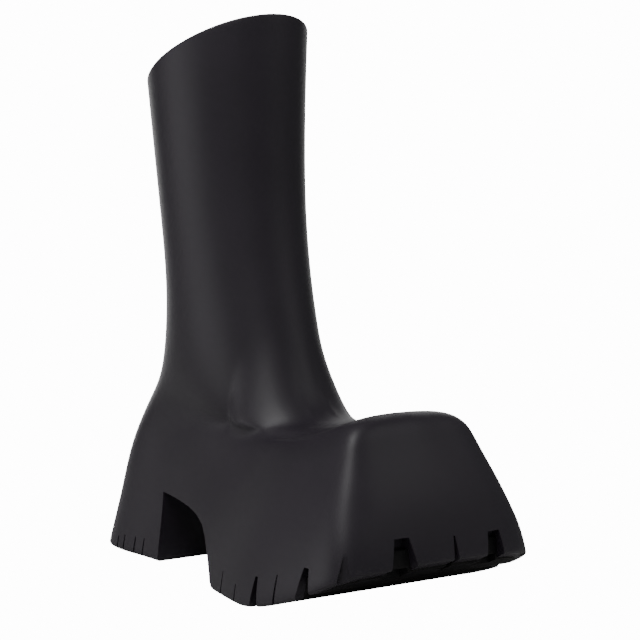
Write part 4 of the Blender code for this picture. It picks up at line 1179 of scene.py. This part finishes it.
def knit_lining():
    """Fine jersey knit: columns of stitches round the leg and rows up it."""
    m = Nodes("knit_lining")
    wale = m.wave(m.attribute("wale"), 1.0 / KNIT_WALES)
    shift = m.math('MULTIPLY', m.math('ABSOLUTE', wale), 1.4)
    rows = m.math('MULTIPLY', m.attribute("course"), 2.0 * math.pi / KNIT_COURSE)
    course = m.math('SINE', m.math('ADD', rows, shift))
    light_wale, light_course = (m.span(wave, 0.3, 1.0, -1.0, 1.0) for wave in (wale, course))
    stitch = m.math('MULTIPLY', light_wale, light_course)
    fuzz = m.noise(1400.0, 3.0)
    stops = ((0.1, (0.012, 0.012, 0.013)), (0.9, (0.052, 0.051, 0.055)))
    return m.finish(stitch, stops, (fuzz, 0.82, 1.0),
                    ((stitch, 0.55, 0.0004), (fuzz, 0.25, 0.0002)),
                    Sheen_Weight=0.35, Sheen_Roughness=0.5)


def woven_cloth():
    """Plain weave of the footbed's cloth."""
    m = Nodes("footbed_cloth")
    split = m.add("ShaderNodeSeparateXYZ")
    m.link(m.place, split.inputs["Vector"])
    warp, weft = (m.wave(split.outputs[axis], WEAVE_PITCH) for axis in ("X", "Y"))
    weave = m.math('MULTIPLY', warp, weft)
    fuzz = m.noise(1100.0, 4.0)
    stops = ((0.2, (0.020, 0.020, 0.023)), (0.8, (0.060, 0.059, 0.066)))
    return m.finish(m.span(weave, 0.0, 1.0, -1.0, 1.0), stops, (fuzz, 0.85, 1.0),
                    ((weave, 0.5, 0.0003), (fuzz, 0.2, 0.0002)),
                    Sheen_Weight=0.3, Sheen_Roughness=0.5)


def open_foam(name, dark, light, scale):
    """Cut foam with visible cells."""
    m = Nodes(name)
    cell = m.cells(scale)
    return m.finish(cell, ((0.05, light), (0.75, dark)), (m.noise(300.0), 0.82, 0.98),
                    ((cell, 0.6, 0.0005), (m.noise(80.0), 0.2, 0.0006)))


def fibreboard():
    """Pressed fibre insole board with short fibres lying every way."""
    m = Nodes("fibreboard")
    fibres = m.noise(160.0, 8.0, 0.7, m.stretch((1.0, 0.28, 1.0)), 0.4)
    specks = m.noise(900.0, 3.0)
    base = m.ramp(fibres, ((0.30, (0.20, 0.13, 0.07)), (0.55, (0.34, 0.24, 0.15)),
                           (0.75, (0.46, 0.35, 0.23))))
    m.colour(m.mix(m.span(specks, 0.0, 0.5, 0.60, 0.75), base, (0.10, 0.07, 0.04)))
    m.roughness(m.span(fibres, 0.78, 0.95))
    m.bumps(((fibres, 0.35, 0.0003), (specks, 0.2, 0.0002)))
    return m.material


def stiffener_sheet():
    """Thermoplastic counter sheet with a cloth-pressed face."""
    m = Nodes("stiffener_sheet")
    cloud = m.noise(40.0, 4.0)
    stops = ((0.3, (0.34, 0.28, 0.20)), (0.7, (0.48, 0.42, 0.32)))
    return m.finish(cloud, stops, (m.noise(220.0), 0.55, 0.75),
                    ((m.cells(700.0), 0.25, 0.0002), (cloud, 0.1, 0.0006)))


def heel_plastic():
    """Moulded core of the heel with flow marks."""
    m = Nodes("heel_plastic")
    flow = m.noise(30.0, 3.0, 0.5, m.stretch((1.0, 1.0, 4.0)), 1.2)
    stops = ((0.3, (0.035, 0.035, 0.040)), (0.7, (0.075, 0.075, 0.080)))
    return m.finish(flow, stops, (m.noise(500.0), 0.42, 0.60),
                    ((flow, 0.12, 0.0005), (m.noise(1200.0), 0.12, 0.0001)))


def steel(name, along):
    """Drawn or stamped steel with marks along one direction."""
    m = Nodes(name)
    marks = m.noise(700.0, 5.0, 0.6, m.stretch(along))
    stops = ((0.3, (0.36, 0.36, 0.37)), (0.7, (0.60, 0.60, 0.61)))
    return m.finish(marks, stops, (marks, 0.22, 0.45),
                    ((marks, 0.12, 0.0001), (m.noise(90.0), 0.05, 0.0004)), Metallic=1.0)


def dress(obj, finish):
    """Give a piece its one material."""
    obj.data.materials.clear()
    obj.data.materials.append(finish)


# ---------------------------------------------------------------- stage, light and camera
def seen_by_camera(tree, lighting, seen, output):
    """Use one shader for light and another where the camera sees the surface itself."""
    ray = tree.nodes.new("ShaderNodeLightPath")
    mix = tree.nodes.new("ShaderNodeMixShader")
    tree.links.new(ray.outputs["Is Camera Ray"], mix.inputs[0])
    tree.links.new(lighting.outputs[0], mix.inputs[1])
    tree.links.new(seen.outputs[0], mix.inputs[2])
    tree.links.new(mix.outputs[0], output.inputs["Surface"])


def build_stage():
    """Pale plain floor."""
    corners = [(-FLOOR_REACH, -FLOOR_REACH, 0.0), (FLOOR_REACH, -FLOOR_REACH, 0.0),
               (FLOOR_REACH, FLOOR_REACH, 0.0), (-FLOOR_REACH, FLOOR_REACH, 0.0)]
    floor = make_object("floor", corners, [(0, 1, 2, 3)])
    paint = Nodes("studio_floor")
    speck = paint.noise(3.0, 2.0)
    paint.colour(paint.ramp(speck, ((0.0, (0.50, 0.50, 0.50)), (1.0, (0.54, 0.54, 0.54)))))
    paint.fix(Roughness=0.9)
    glow = paint.add("ShaderNodeEmission", Strength=BACKDROP)
    seen_by_camera(paint.tree, paint.shader, glow, paint.output)
    dress(floor, paint.material)


def build_world():
    """White surroundings that light the boot softly."""
    world = bpy.data.worlds.new("studio")
    world.use_nodes = True
    tree = world.node_tree
    shades = (tree.nodes["Background"], tree.nodes.new("ShaderNodeBackground"))
    for shade, strength in zip(shades, (AMBIENT, BACKDROP)):
        shade.inputs["Color"].default_value = (1.0, 1.0, 1.0, 1.0)
        shade.inputs["Strength"].default_value = strength
    seen_by_camera(tree, *shades, tree.nodes["World Output"])
    bpy.context.scene.world = world


def facing(azimuth, elevation):
    """Rotation that turns +Z to an azimuth (0 in front of the toe) and an elevation."""
    return (Matrix.Rotation(math.radians(azimuth), 4, 'Z')
            @ Matrix.Rotation(math.radians(90.0 - elevation), 4, 'X'))


def softbox(name, azimuth, elevation, distance, size, power):
    """Rectangular area light aimed at the boot."""
    light = bpy.data.lights.new(name, 'AREA')
    light.shape = 'RECTANGLE'
    light.size, light.size_y = size
    light.energy = power
    lamp = add_object(name, light)
    away = Matrix.Translation((0.0, 0.0, distance))
    lamp.matrix_world = Matrix.Translation(LIGHT_TARGET) @ facing(azimuth, elevation) @ away


def build_camera():
    """Camera ahead of the boot on its -X side, at the height of the shaft."""
    lens = bpy.data.cameras.new("camera")
    lens.lens = CAMERA_LENS
    lens.sensor_width = SENSOR_WIDTH
    camera = add_object("camera", lens)
    turn = facing(CAMERA_AZIMUTH, CAMERA_ELEVATION) @ Matrix.Rotation(
        math.radians(CAMERA_ROLL), 4, 'Z')
    camera.matrix_world = Matrix.Translation(CAMERA_PLACE) @ turn
    bpy.context.scene.camera = camera


# ---------------------------------------------------------------- assembly
def place(obj, shift, slot, *nodes):
    """Shift a finished piece into the CAD frame and let it stand for its CAD nodes."""
    obj.data.transform(Matrix.Translation((0.0, shift, 0.0)))
    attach(obj, "root")
    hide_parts(*nodes)


def add_soft_pieces(shift, floor_half):
    """Lining and footbed, the boot's soft pieces, built and dressed."""
    lining = build_lining()
    dress(lining, knit_lining())
    place(lining, shift, "lining_knit", "sock_lining")

    foam, cover = build_footbed(floor_half)
    dress(foam, open_foam("footbed_foam", (0.050, 0.050, 0.055), (0.13, 0.13, 0.14), 900.0))
    dress(cover, woven_cloth())
    place(foam, shift, "footbed_foam", "footbed_foam")
    place(cover, shift, "footbed_cloth", "footbed_cover")


def dress_carried(nodes):
    """Materials of the CAD pieces that are shown as they are."""
    finishes = {
        ("heel_nail", "heel_screw", "shank_rivet"): steel("nail_steel", (1.0, 1.0, 0.05)),
        ("toe_puff", "heel_counter"): stiffener_sheet(),
        ("insole_board",): fibreboard(),
        ("heel_core",): heel_plastic(),
        ("forefoot_filler",): open_foam("filler_foam", (0.42, 0.40, 0.36), (0.66, 0.64, 0.60),
                                        420.0),
    }
    for starts, finish in finishes.items():
        for name, obj in nodes.items():
            if name.startswith(starts):
                dress(obj, finish)
    dress(nodes["shank"], steel("shank_steel", (1.0, 0.05, 1.0)))


def main():
    """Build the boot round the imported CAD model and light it."""
    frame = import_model()
    cad_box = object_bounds()
    plain, outer = outer_surface()
    cavity = spline_grid(cavity_net(), HOLLOW_STEPS, HOLLOW_STEPS)
    cavity[0, :, 2] = floor_z(cavity[0, :, 1])
    sole_half = half_ring(coarse_ring())
    shift = cad_box[0].y - plain[..., 1].min()

    upper = build_upper(outer, cavity, sole_half)
    dress(upper, moulded_rubber())
    place(upper, shift, "moulded_rubber", "upper_shell")
    tread = tread_rubber()
    for obj, node in zip(build_treads(sole_half), ("forefoot_outsole", "heel_top_piece")):
        dress(obj, tread)
        place(obj, shift, "tread_rubber", node)
    add_soft_pieces(shift, half_ring(cavity[0]))
    dress_carried(frame["nodes"])

    build_stage()
    build_world()
    for row in LIGHTS:
        softbox(*row)
    build_camera()


main()
